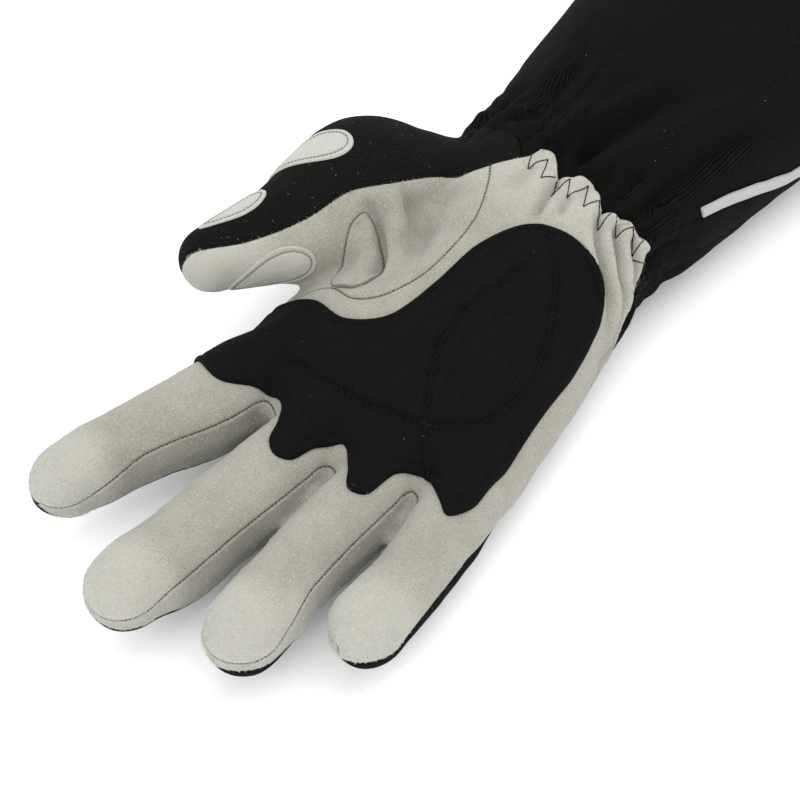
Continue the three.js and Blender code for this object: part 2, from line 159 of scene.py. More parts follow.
# Sections of the hand and cuff, square to Y
bodyRows = table(
    "y x half mid up down square bow",
    (-70, -0.5, 38.5, 18, 7, 8, 2, 15),
    (-62, -0.8, 42.9, 17.5, 12, 12, 2, 13),
    (-48, -1, 44.6, 17, 17, 16, 2.05, 9),
    (-25, -1.7, 40.7, 18, 21, 19, 2.2, 3),
    (0, -3, 36, 20, 23, 21.2, 2.4, 0),
    (22, -8, 33.5, 23, 23, 24, 2.5, 0),
    (36, -12.3, 34.3, 26, 21, 24, 2.5, 0),
    (46, -13.3, 34, 27, 20, 23, 2.5, 0),
    (58, -14, 36.2, 27, 22, 25, 2.4, 0),
    (80, -16.8, 39, 28, 25, 29, 2.4, 0),
    (120, -20, 43.5, 30, 28, 31.5, 2.4, 0),
    (176, -23.5, 50, 32, 30, 33.5, 2.4, 0),
)
knuckleY, wristY, hemY = -70, 36, 176

# Points along the middle of each finger, with half of the width and of the thickness there
tubeRows = {
    "index": table(
        "x y z wide deep",
        (-26, -36, 18, 13, 13),
        (-29.5, -60, 19, 12.6, 12.6),
        (-31.3, -74.6, 19.5, 12.1, 12.1),
        (-34, -86.5, 20, 10.8, 11),
        (-35.3, -99, 21.5, 10.1, 10.4),
        (-35.6, -109, 23, 10.1, 10),
        (-37.4, -124.8, 24, 8, 8),
    ),
    "middle": table(
        "x y z wide deep",
        (-3, -40, 18, 12, 13),
        (-3.2, -66, 19, 12, 12.6),
        (-3.1, -82.6, 19, 11.8, 12),
        (-2.9, -96.7, 19, 11.9, 11.8),
        (-2, -110.3, 20, 12, 11.4),
        (-2.1, -122.8, 22, 10.8, 10.4),
        (0, -136.6, 23, 8, 8),
    ),
    "ring": table(
        "x y z wide deep",
        (15, -36, 18, 11.6, 13),
        (18.5, -62, 19, 11, 12),
        (20.4, -78.6, 19, 10.6, 11.4),
        (22.4, -93.4, 19, 10.3, 11),
        (25, -105.8, 20, 10.7, 10.8),
        (27.7, -116.4, 21, 10, 10),
        (30.2, -123.7, 22, 8, 8),
    ),
    "little": table(
        "x y z wide deep",
        (26, -26, 17, 9, 12),
        (35.8, -50, 18, 10.2, 12),
        (39.9, -63.2, 18, 9.5, 11),
        (42.9, -75.9, 18, 9.3, 10.6),
        (45, -86.2, 19, 9.6, 10.4),
        (46.8, -93.5, 20, 9.6, 10),
        (49.6, -101.2, 20, 8, 8),
    ),
    "thumb": table(
        "x y z wide deep",
        (-29, 37, 26, 10, 9),
        (-35.5, 25, 27.5, 13, 13),
        (-41.5, 14, 30, 15, 17),
        (-47.3, 3, 33.6, 15.2, 21),
        (-49.5, -10, 33.8, 14, 18.4),
        (-52, -21.8, 33, 12.5, 14.8),
        (-56, -31.7, 32, 11.3, 11.6),
        (-60.8, -43.5, 31, 10, 9),
        (-64.4, -51.6, 30, 8, 7),
    ),
    "fold": table(  # the rounded fold that the bent-in thumb pushes up beside its crotch
        "x y z wide deep",
        (-44, -1, 36, 8, 8),
        (-39, -3.5, 38.4, 8, 8),
        (-33, -4.5, 35.3, 8, 8),
        (-26, -8, 31.6, 8, 8),
        (-17, -15, 31, 8, 8),
        (-7, -24, 26, 8, 8),
    ),
}
fingers = ["index", "middle", "ring", "little"]
tipLength = 11
palmOf = {"thumb": (0.93, 0, -0.37)}
form = {
    "voxel": 0.85 * mm, "smoothing": 12, "around": 96, "bodyAround": 192, "ringStep": 1.5, "tipRings": 9,
    "floorRound": 3, "floorSink": 0.8,  # how the underside rounds off where it meets the floor
}


def tubeLine(name):  # stations along a finger's middle line, each with its own axes
    rows = tubeRows[name]
    points = np.stack([rows["x"], rows["y"], rows["z"]], 1)
    run = runOf(points)
    straight = run[-1] - tipLength
    t = np.linspace(0, straight, int(straight / form["ringStep"]) + 1)

    def place(at):
        return np.stack([curveThrough(run, rows[axis], at) for axis in "xyz"], 1)

    along = unit(place(t + 0.5) - place(t - 0.5))
    palm = np.array(palmOf.get(name, (0, 0, 1)), float)
    front = unit(palm - along * (along @ palm)[:, None])
    return {
        "t": t,
        "centre": place(t),
        "along": along,
        "front": front,
        "side": np.cross(front, along),
        "wide": curveThrough(run, rows["wide"], t),
        "deep": curveThrough(run, rows["deep"], t),
    }


lines = {name: tubeLine(name) for name in tubeRows}


def coordinates(made):
    co = np.zeros(len(made.data.vertices) * 3)
    made.data.vertices.foreach_get("co", co)
    return co.reshape(-1, 3)


def getPoints(made):
    return coordinates(made) / mm


def setPoints(made, points):
    made.data.vertices.foreach_set("co", np.ascontiguousarray(points * mm, float).ravel())
    made.data.update()


def getFaces(made):
    faces = np.zeros(len(made.data.polygons) * 3, int)
    made.data.polygons.foreach_get("vertices", faces)
    return faces.reshape(-1, 3)


def roundForm(name, around, rings):  # a sphere's rings, which are then laid along a form
    bpy.ops.mesh.primitive_uv_sphere_add(segments=around, ring_count=rings, radius=1)
    made = bpy.context.active_object
    made.name = name
    co = coordinates(made)
    ring = np.rint(np.arccos(np.clip(co[:, 2], -1, 1)) / math.pi * rings).astype(int)
    return made, ring, np.arctan2(co[:, 1], co[:, 0])


def fingerForm(name):
    line = lines[name]
    count, tipRings = len(line["t"]), form["tipRings"]
    made, ring, angle = roundForm(name, form["around"], count + tipRings)
    station = np.clip(ring - 1, 0, count - 1)
    tip = np.clip((ring - count) / tipRings, 0, 1) * math.pi / 2
    share = np.where(ring == 0, 0, np.cos(tip))
    ahead = np.sin(tip) * tipLength
    across = np.sin(angle) * line["wide"][station] * share
    upward = np.cos(angle) * line["deep"][station] * share
    points = line["centre"][station] + line["along"][station] * ahead[:, None]
    points = points + line["side"][station] * across[:, None] + line["front"][station] * upward[:, None]
    setPoints(made, points)
    return made


def power(value, exponent):
    return np.sign(value) * np.abs(value) ** exponent


def rowAt(rows, y):
    return {column: curveThrough(rows["y"], rows[column], y) for column in rows if column != "y"}


def handForm():  # the hand and the cuff in one
    count = int((hemY - knuckleY) / form["ringStep"])
    made, ring, angle = roundForm("hand", form["bodyAround"], count + 2)
    y = knuckleY + (hemY - knuckleY) * np.clip((ring - 1) / count, 0, 1)
    share = np.where((ring == 0) | (ring == count + 2), 0, 1)
    row = rowAt(bodyRows, y)
    across = power(np.cos(angle), 2 / row["square"]) * share
    rise = power(np.sin(angle), 2 / row["square"]) * share
    height = row["mid"] + rise * np.where(rise > 0, row["up"], row["down"])
    height = np.maximum((height + np.hypot(height, form["floorRound"])) / 2 - form["floorSink"], 0)
    setPoints(made, np.stack([row["x"] + across * row["half"], y + row["bow"] * across**2, height], 1))
    return made


def applyModifier(made, kind, **values):
    bpy.context.view_layer.objects.active = made
    modifier = made.modifiers.new(kind, kind)
    for key, value in values.items():
        setattr(modifier, key, value)
    bpy.ops.object.modifier_apply(modifier=modifier.name)


def gloveForm():  # all forms fused into one skin
    parts = [handForm()] + [fingerForm(name) for name in tubeRows]
    bpy.ops.object.select_all(action="DESELECT")
    for part in parts:
        part.select_set(True)
    bpy.context.view_layer.objects.active = parts[0]
    bpy.ops.object.join()
    made = bpy.context.active_object
    applyModifier(made, "REMESH", mode="VOXEL", voxel_size=form["voxel"])
    applyModifier(made, "SMOOTH", factor=0.5, iterations=form["smoothing"])
    applyModifier(made, "TRIANGULATE")
    return made


print("fusing the form")
whole = gloveForm()
skinPoints, skinFaces = getPoints(whole), getFaces(whole)
bpy.data.objects.remove(whole)
print("form fused:", len(skinPoints), "points")


def sidesOf(faces):
    return np.concatenate([faces[:, [0, 1]], faces[:, [1, 2]], faces[:, [2, 0]]])


def normalsOf(points, faces):
    corners = points[faces]
    across = np.cross(corners[:, 1] - corners[:, 0], corners[:, 2] - corners[:, 0])
    normals = np.zeros_like(points)
    for i in range(3):
        for axis in range(3):
            normals[:, axis] += np.bincount(faces[:, i], across[:, axis], len(points))
    return unit(normals)


def edgesOf(faces):
    return np.unique(np.sort(sidesOf(faces), axis=1), axis=0)


def averaged(points, faces, values, times):  # values spread to the neighbours
    edges = edgesOf(faces)
    count = len(points)
    degree = np.maximum(np.bincount(edges.ravel(), minlength=count).astype(float), 1)
    for _ in range(times):
        columns = values.reshape(count, -1)
        out = np.zeros_like(columns)
        for k in range(columns.shape[1]):
            out[:, k] = np.bincount(edges[:, 0], columns[edges[:, 1], k], count)
            out[:, k] += np.bincount(edges[:, 1], columns[edges[:, 0], k], count)
        values = 0.5 * values + 0.5 * (out / degree[:, None]).reshape(values.shape)
    return values


# Where thumb, fold and palm meet, the form is smoothed further
web = {"at": (-28, -4, 34), "reach": 15, "times": 16}
webShare = smoothStep(-np.linalg.norm(skinPoints - web["at"], axis=1), -web["reach"], -0.6 * web["reach"])
skinPoints += (averaged(skinPoints, skinFaces, skinPoints, web["times"]) - skinPoints) * webShare[:, None]

snapShare = 0.14  # a seam that passes this near a point of the mesh moves the point onto itself


def cutAlong(points, faces, marks, field):  # new edges where the field is nought, and the side of each face
    value = np.where(field == 0, 1e-9, field)
    edges = edgesOf(faces)
    first, second = value[edges[:, 0]], value[edges[:, 1]]
    crossing = first * second < 0
    edges, first, second = edges[crossing], first[crossing], second[crossing]
    share = first / (first - second)
    where = points[edges[:, 0]] * (1 - share)[:, None] + points[edges[:, 1]] * share[:, None]
    near = np.concatenate([edges[share < snapShare, 0], edges[share > 1 - snapShare, 1]])
    nearPlace = np.concatenate([where[share < snapShare], where[share > 1 - snapShare]])
    count = np.bincount(near, minlength=len(points))
    moved = count > 0
    points = points.copy()
    for axis in range(3):
        total = np.bincount(near, nearPlace[:, axis], len(points))
        points[moved, axis] = total[moved] / count[moved]
    value = value.copy()
    value[moved] = 0
    crossing = value[edges[:, 0]] * value[edges[:, 1]] < 0
    edges, share = edges[crossing], share[crossing]
    fresh = points[edges[:, 0]] * (1 - share)[:, None] + points[edges[:, 1]] * share[:, None]
    start = len(points)
    points = np.concatenate([points, fresh])
    value = np.concatenate([value, np.zeros(len(fresh))])
    keys = edges[:, 0] * start + edges[:, 1]
    order = np.argsort(keys)

    def middleOf(a, b):
        key = np.minimum(a, b) * start + np.maximum(a, b)
        return start + order[np.searchsorted(keys[order], key)]

    sign = np.sign(value)
    faceSign = sign[faces]
    kinds = [faceSign[:, i] * faceSign[:, (i + 1) % 3] < 0 for i in range(3)]
    crossed = np.stack(kinds, 1)
    many = crossed.sum(1)
    keptFaces, keptMarks = [faces[many == 0]], [marks[many == 0]]
    for i in range(3):  # one crossed edge, from corner i to the next
        rows = (many == 1) & crossed[:, i]
        a, b, c = faces[rows, i], faces[rows, (i + 1) % 3], faces[rows, (i + 2) % 3]
        if len(a):
            m = middleOf(a, b)
            keptFaces += [np.stack([a, m, c], 1), np.stack([m, b, c], 1)]
            keptMarks += [marks[rows]] * 2
    for i in range(3):  # corner i is alone on its side
        rows = (many == 2) & crossed[:, i] & crossed[:, (i + 2) % 3]
        a, b, c = faces[rows, i], faces[rows, (i + 1) % 3], faces[rows, (i + 2) % 3]
        if len(a):
            m, n = middleOf(a, b), middleOf(c, a)
            keptFaces += [np.stack([a, m, n], 1), np.stack([m, b, n], 1), np.stack([b, c, n], 1)]
            keptMarks += [marks[rows]] * 3
    faces = np.concatenate(keptFaces)
    marks = np.concatenate(keptMarks)
    inside = value[faces].sum(1) > 0
    return points, faces, marks, inside


# Places of the skin about the fingers
def aboutTube(name, points):
    line = lines[name]
    centre = line["centre"]
    distance = (centre**2).sum(1)[None] - 2 * points @ centre.T
    i = np.argmin(distance, 1)
    offset = points - centre[i]
    ahead = (offset * line["along"][i]).sum(1)
    across = (offset * line["side"][i]).sum(1)
    upward = (offset * line["front"][i]).sum(1)
    tip = np.where(i == len(centre) - 1, np.clip(ahead / tipLength, 0, 1), 0)
    outward = np.hypot(across / line["wide"][i], upward / line["deep"][i])
    return {
        "t": line["t"][i] + ahead,
        "tip": tip,
        "across": across,
        "upward": upward,
        "deep": line["deep"][i],
        "reach": np.hypot(outward, np.where(i == 0, ahead, ahead * (tip > 0)) / tipLength),
    }


# Seams along each finger, in degrees from the middle of its palm side
palmTurn = (57, 86)
backTurn = {  # radial side at the root and the tip, then the ulnar side
    "index": (112, 94, 125, 132),
    "middle": (116, 108, 124, 110),
    "ring": (118, 114, 120, 94),
    "little": (118, 130, 88, 94),
}
seamTurnsFrom = 18  # the seams start to turn this far before the round end
seamBlend = {"side": (-6, 6), "sharp": 10, "soft": 0.01}  # how the two sides, and neighbouring fingers, share a seam
tipDrop = {"index": 0, "middle": 2.2, "ring": 2.8, "little": 2.4}  # how far below that end's middle the back reaches
fourchettes = [
    ("fourchette_index_middle", "index", "middle"),
    ("fourchette_middle_ring", "middle", "ring"),
    ("fourchette_ring_little", "ring", "little"),
]
# Between these the hand's side seam becomes the fingers', and that much earlier beside the little finger
fingerSeamFrom = {"start": -50, "end": -74, "earlier": 13, "little": (34, 42), "index": (-56, -50)}


def fingerSeam(points, kind):  # how far below that seam each point lies, over all fingers at once
    total = np.zeros(len(points))
    weights = np.zeros(len(points))
    for name in fingers:
        at = aboutTube(name, points)
        first, last = palmTurn
        if kind == "back":
            rootIn, tipIn, rootOut, tipOut = backTurn[name]
            side = smoothStep(at["across"], *seamBlend["side"])
            first, last = rootIn + (rootOut - rootIn) * side, tipIn + (tipOut - tipIn) * side
        end = lines[name]["t"][-1]
        turn = first + (last - first) * smoothStep(at["t"], end - seamTurnsFrom, end + tipLength)
        share = np.sqrt(1 - at["tip"] ** 2)
        below = at["deep"] * share * np.cos(np.radians(turn)) - at["upward"]
        if kind == "back":
            below -= tipDrop[name] * at["tip"]
        weight = 1 / (at["reach"] ** seamBlend["sharp"] + seamBlend["soft"])
        total += weight * below
        weights += weight
    return total / weights


handSeam = table(
    "y radial ulnar",
    (-80, 13, 13),
    (-50, 13, 12.5),
    (-20, 14, 12.5),
    (0, 16, 13),
    (17, 20, 16.5),
    (29, 24, 26),
    (37, 27, 36),
)
cuffSeam = table(
    "y radial ulnar",
    (35, 30, 36.5),
    (57, 29, 33.4),
    (68, 29, 31),
    (80, 29, 27),
    (94, 29, 20.8),
    (106, 29, 17.8),
    (180, 32, 24),
)


def belowSeam(rows, points):
    y = np.clip(points[:, 1], rows["y"][0], rows["y"][-1])
    share = np.clip((points[:, 0] + 30) / 30, 0, 1)
    height = np.interp(y, rows["y"], rows["radial"]) * (1 - share) + np.interp(y, rows["y"], rows["ulnar"]) * share
    return height - points[:, 2]


# The knit back runs on over the back of the thumb: directions of its two seams round the point x, z
thumbBack = table(
    "y x z from to",
    (-62, -66, 29, 96, 250),
    (-52, -64, 30, 84, 250),
    (-46, -62, 31, 66, 248),
    (-38, -58.5, 31.5, 56, 248),
    (-24, -52.6, 33, 56, 248),
    (-10, -50, 34, 59, 254),
    (0, -44, 33, 63, 260),
    (16, -33, 29, 82, 268),
    (26, -24, 27, 90, 270),
    (37, -14, 26, 96, 270),
)
thumbBackReach = {"round": 45, "past": 38.5, "arm": (4, 20)}  # how far that back goes, and the arm its turns act on


def overThumbBack(points):
    row = rowAt(thumbBack, np.clip(points[:, 1], *thumbBack["y"][[0, -1]]))
    turn = np.degrees(np.arctan2(points[:, 2] - row["z"], points[:, 0] - row["x"]))
    middle = (row["from"] + row["to"]) / 2
    away = np.abs((turn - middle + 180) % 360 - 180)
    radius = np.hypot(points[:, 2] - row["z"], points[:, 0] - row["x"])
    field = np.radians((row["to"] - row["from"]) / 2 - away) * np.clip(radius, *thumbBackReach["arm"])
    near = np.minimum(thumbBackReach["round"] - radius, thumbBackReach["past"] - points[:, 1])
    return np.minimum(field, near)


def onBack(points):
    hand = belowSeam(handSeam, points)
    along = -points[:, 1] + fingerSeamFrom["earlier"] * smoothStep(points[:, 0], *fingerSeamFrom["little"])
    share = smoothStep(along, -fingerSeamFrom["start"], -fingerSeamFrom["end"])
    share = share * smoothStep(points[:, 0], *fingerSeamFrom["index"])
    side = hand * (1 - share) + fingerSeam(points, "back") * share
    return np.maximum(side, overThumbBack(points))


def insideOutline(outline, points):  # distance to a closed outline seen from above, more than nought inside
    flat = points[:, :2]
    nearest = np.full(len(points), 1e9)
    inside = np.zeros(len(points), bool)
    for a, b in zip(outline, np.roll(outline, -1, axis=0)):
        along = b - a
        share = np.clip(((flat - a) @ along) / (along @ along), 0, 1)
        nearest = np.minimum(nearest, np.linalg.norm(flat - a - share[:, None] * along, axis=1))
        spans = (a[1] > flat[:, 1]) != (b[1] > flat[:, 1])
        x = a[0] + (flat[:, 1] - a[1]) * along[0] / (along[1] if along[1] else 1e-9)
        inside ^= spans & (flat[:, 0] < x)
    return np.where(inside, nearest, -nearest)


def closedCurve(rows, steps=8):  # a smooth closed outline through the rows
    rows = np.array(rows, float)
    count = len(rows)
    out = []
    for i in range(count):
        p = [rows[(i + k) % count] for k in (-1, 0, 1, 2)]
        gaps = [math.sqrt(np.linalg.norm(p[k + 1] - p[k])) for k in range(3)]
        knots = np.concatenate([[0], np.cumsum(gaps)])
        for step in range(steps):
            t = knots[1] + (knots[2] - knots[1]) * step / steps
            at = p
            for reach in (1, 2):
                at = [
                    (at[k] * (knots[k + reach] - t) + at[k + 1] * (t - knots[k])) / (knots[k + reach] - knots[k])
                    for k in range(4 - reach)
                ]
            out.append((at[0] * (knots[2] - t) + at[1] * (t - knots[1])) / (knots[2] - knots[1]))
    return np.array(out)


thumbPanelArc = [
    (-30, 30), (-21.5, 20.5), (-15, 8.6), (-12.6, -4), (-12.6, -16), (-15.5, -24.5),
    (-22, -29), (-31.6, -28.4), (-40, -33), (-46.5, -42), (-50, -70),
]
thumbGusset = [
    (-36.6, -10.4), (-37.2, -14.5), (-35, -20), (-32.6, -27),
    (-27.5, -27), (-23.4, -24.8), (-23.2, -20.5), (-29, -13.8),
]
palmPatch = [
    (-39.5, -68), (-28.5, -70.3), (-20.3, -62.8), (-14.6, -62), (-8.5, -68.5), (-5, -75), (-1, -77), (2.2, -75),
    (3.6, -67), (7.5, -61.2), (14.5, -66.5), (19.2, -71.3), (23, -69.4), (23.8, -58.5), (28, -53.6), (37, -57.4),
    (41.2, -59.2), (43.3, -53.5), (41.2, -43), (35.8, -21.5), (30.5, 2), (23.8, 16.4), (12, 21), (-1.5, 15.6),
    (-7.3, 2.5), (-7.4, -14), (-10, -29), (-19, -35.4), (-31, -34), (-42, -36), (-56, -42), (-56, -60),
]
gussetFloor = 26  # below this the outlines of gusset and patch don't hold
patchFloor = 16


def openCurve(rows, steps=8):
    rows = np.array(rows, float)
    run = runOf(rows)
    at = np.linspace(0, run[-1], (len(rows) - 1) * steps + 1)
    return np.stack([curveThrough(run, rows[:, k], at) for k in range(rows.shape[1])], 1)


thumbOutline = np.concatenate([openCurve(thumbPanelArc), [(-90, -70), (-90, 30)]])
gussetOutline = closedCurve(thumbGusset)
patchOutline = closedCurve(palmPatch)

# The suede's edge at the wrist is scalloped where the elastic draws it up
wristEdge = table(
    "x y",
    (-26, 34), (-20.4, 31.6), (-18.4, 34.8), (-16.6, 36.2), (-14.1, 36.4), (-11, 35.1), (-8.9, 33.4), (-7.2, 32),
    (-5.6, 33.2), (-3.6, 33.4), (-2.8, 36), (-0.5, 36.7), (2.2, 35.7), (4.7, 34.1), (6.4, 32.6), (9.3, 32.6),
    (11, 34.4), (13.6, 36.9), (16.4, 36.8), (19.2, 36.9), (22, 36),
)


edgeShows = {"above": (26, 33), "past": (-26, -20)}  # where the edge follows the scallops


def pastWrist(points):
    edge = np.interp(points[:, 0], wristEdge["x"], wristEdge["y"])
    share = smoothStep(points[:, 2], *edgeShows["above"]) * smoothStep(points[:, 0], *edgeShows["past"])
    return points[:, 1] - (wristY * (1 - share) + edge * share)


panelNames = [
    "back_panel",
    "palm_panel",
    "thumb_panel",
    "thumb_gusset",
    "fourchette_index_middle",
    "fourchette_middle_ring",
    "fourchette_ring_little",
    "gauntlet_back",
    "gauntlet_front",
]


def inThumbPanel(points):
    return insideOutline(thumbOutline, points)


def inGusset(points):
    return np.minimum(insideOutline(gussetOutline, points), points[:, 2] - gussetFloor)


def inPalmPatch(points):
    return np.minimum(insideOutline(patchOutline, points), points[:, 2] - patchFloor)


def belowCuffSeam(points):
    return belowSeam(cuffSeam, points)


def between(left, right):  # the walls of two fingers that face each other
    def field(points):
        low, high = [
            np.interp(-points[:, 1], -lines[name]["centre"][:, 1], lines[name]["centre"][:, 0])
            for name in (left, right)
        ]
        inner = np.minimum(points[:, 0] - low, high - points[:, 0])
        wall = np.minimum(fingerSeam(points, "palm"), -onBack(points))
        return np.minimum(np.minimum(wall, inner), fingerSeamFrom["start"] - points[:, 1])
    return field


def cutPanels(points, faces):
    fields = {"cuff": pastWrist, "back_panel": onBack, "thumb_panel": inThumbPanel, "thumb_gusset": inGusset}
    fields |= {name: between(left, right) for name, left, right in fourchettes}
    fields["cuffBack"] = belowCuffSeam
    marks = np.zeros((len(faces), len(fields)), bool)
    for column, field in enumerate(fields.values()):
        points, faces, marks, inside = cutAlong(points, faces, marks, field(points))
        marks[:, column] = inside
    within = dict(zip(fields, marks.T))
    within["thumb_gusset"] = within["thumb_gusset"] & within["thumb_panel"]
    within["gauntlet_front"] = within["cuff"]
    within["gauntlet_back"] = within["cuff"] & within["cuffBack"]
    owner = np.full(len(faces), panelNames.index("palm_panel"))
    order = [row[0] for row in fourchettes] + ["thumb_panel", "thumb_gusset", "back_panel"]
    for name in order + ["gauntlet_front", "gauntlet_back"]:  # a later panel takes what an earlier one had
        owner[within[name]] = panelNames.index(name)
    return points, faces, owner


skinPoints, skinFaces, panelOf = cutPanels(skinPoints, skinFaces)
openFaces = skinPoints[skinFaces][:, :, 1].min(1) < hemY - 0.5
skinFaces, panelOf = skinFaces[openFaces], panelOf[openFaces]
print("panels cut:", {name: int((panelOf == i).sum()) for i, name in enumerate(panelNames)})


def seamEdges(faces, owner):  # edges that lie between two panels, with the panels' numbers
    pairs, whose = np.sort(sidesOf(faces), axis=1), np.tile(owner, 3)
    order = np.lexsort((pairs[:, 1], pairs[:, 0]))
    pairs, whose = pairs[order], whose[order]
    same = (pairs[1:] == pairs[:-1]).all(1) & (whose[1:] != whose[:-1])
    at = np.nonzero(same)[0]
    return pairs[at], np.sort(np.stack([whose[at], whose[at + 1]], 1), axis=1)


def chained(edges):  # edges put one after another into lines of points
    near = {}
    for a, b in edges:
        near.setdefault(int(a), []).append(int(b))
        near.setdefault(int(b), []).append(int(a))
    unused = {tuple(sorted((int(a), int(b)))) for a, b in edges}
    out = []
    ends = sorted(p for p in near if len(near[p]) != 2)
    for start in ends + sorted(near):
        while True:
            nextOnes = [q for q in near[start] if tuple(sorted((start, q))) in unused]
            if not nextOnes:
                break
            chain = [start]
            here = start
            while True:
                following = [q for q in near[here] if tuple(sorted((here, q))) in unused]
                if not following:
                    break
                unused.discard(tuple(sorted((here, following[0]))))
                here = following[0]
                chain.append(here)
                if len(near[here]) != 2:
                    break
            out.append(chain)
    return out


def resampled(path, step):
    run = runOf(path)
    at = np.linspace(0, run[-1], max(2, int(round(run[-1] / step)) + 1))
    return np.stack([np.interp(at, run, path[:, k]) for k in range(3)], 1)


def distanceTo(paths, points, limit):  # how far each point is from the nearest of these lines
    dense = np.concatenate([resampled(path, 0.2) for path in paths])
    tree = kdtree.KDTree(len(dense))
    for i, p in enumerate(dense):
        tree.insert(p, i)
    tree.balance()
    low, high = dense.min(0) - limit, dense.max(0) + limit
    out = np.full(len(points), float(limit))
    for i in np.nonzero(((points > low) & (points < high)).all(1))[0]:
        out[i] = min(limit, tree.find(points[i])[2])
    return out


def seamLines(points, faces, owner):
    edges, pairs = seamEdges(faces, owner)
    found = {}
    for pair in sorted({tuple(p) for p in pairs.tolist()}):
        chains = chained(edges[(pairs == pair).all(1)])
        found[pair] = [points[chain] for chain in chains if len(chain) > 6]
    return {pair: paths for pair, paths in found.items() if paths}


seamReach = 16  # past this distance from a seam nothing depends on it
grooveRows = [0.35, 0.9, 1.6]  # the first two get points of their own beside each seam
seams = seamLines(skinPoints, skinFaces, panelOf)
seamPaths = [path for paths in seams.values() for path in paths]
skinSeam = distanceTo(seamPaths, skinPoints, seamReach)
for step in grooveRows[:2]:
    marks = panelOf[:, None]
    skinPoints, skinFaces, marks, beyond = cutAlong(skinPoints, skinFaces, marks, skinSeam - step)
    panelOf = marks[:, 0]
    skinSeam = distanceTo(seamPaths, skinPoints, seamReach)
skinNormals = unit(averaged(skinPoints, skinFaces, normalsOf(skinPoints, skinFaces), 4))
print("skin ready:", len(skinPoints), "points,", len(skinFaces), "faces")


def surfaceTree(points, faces):
    return BVHTree.FromPolygons(points.tolist(), faces.tolist())


formTree = surfaceTree(skinPoints, skinFaces)
overhead = 120  # a height above the whole glove


def onSurface(tree, points):  # the nearest places on a surface, and which way it faces there
    found = [tree.find_nearest(p) for p in points]
    return np.array([f[0] for f in found]), np.array([f[1] for f in found])


def onForm(flat, above=0):  # a line seen from above, laid on the form
    hits = [formTree.ray_cast((x, y, overhead), (0, 0, -1))[0] for x, y in flat]
    return np.column_stack([flat, [hit[2] + above if hit else 20 + above for hit in hits]])


def alongLine(path, points, reach):  # distance to a line and the share of it passed, for the points near it
    near = np.nonzero(((points > path.min(0) - reach) & (points < path.max(0) + reach)).all(1))[0]
    p = points[near]
    gap = np.full(len(p), 1e9)
    share = np.zeros(len(p))
    run = runOf(path)
    for i in range(len(path) - 1):
        a, d = path[i], path[i + 1] - path[i]
        t = np.clip(((p - a) @ d) / max(d @ d, 1e-9), 0, 1)
        here = np.linalg.norm(p - a - t[:, None] * d, axis=1)
        closer = here < gap
        gap = np.where(closer, here, gap)
        share = np.where(closer, (run[i] + t * (run[i + 1] - run[i])) / run[-1], share)
    return near, gap, share


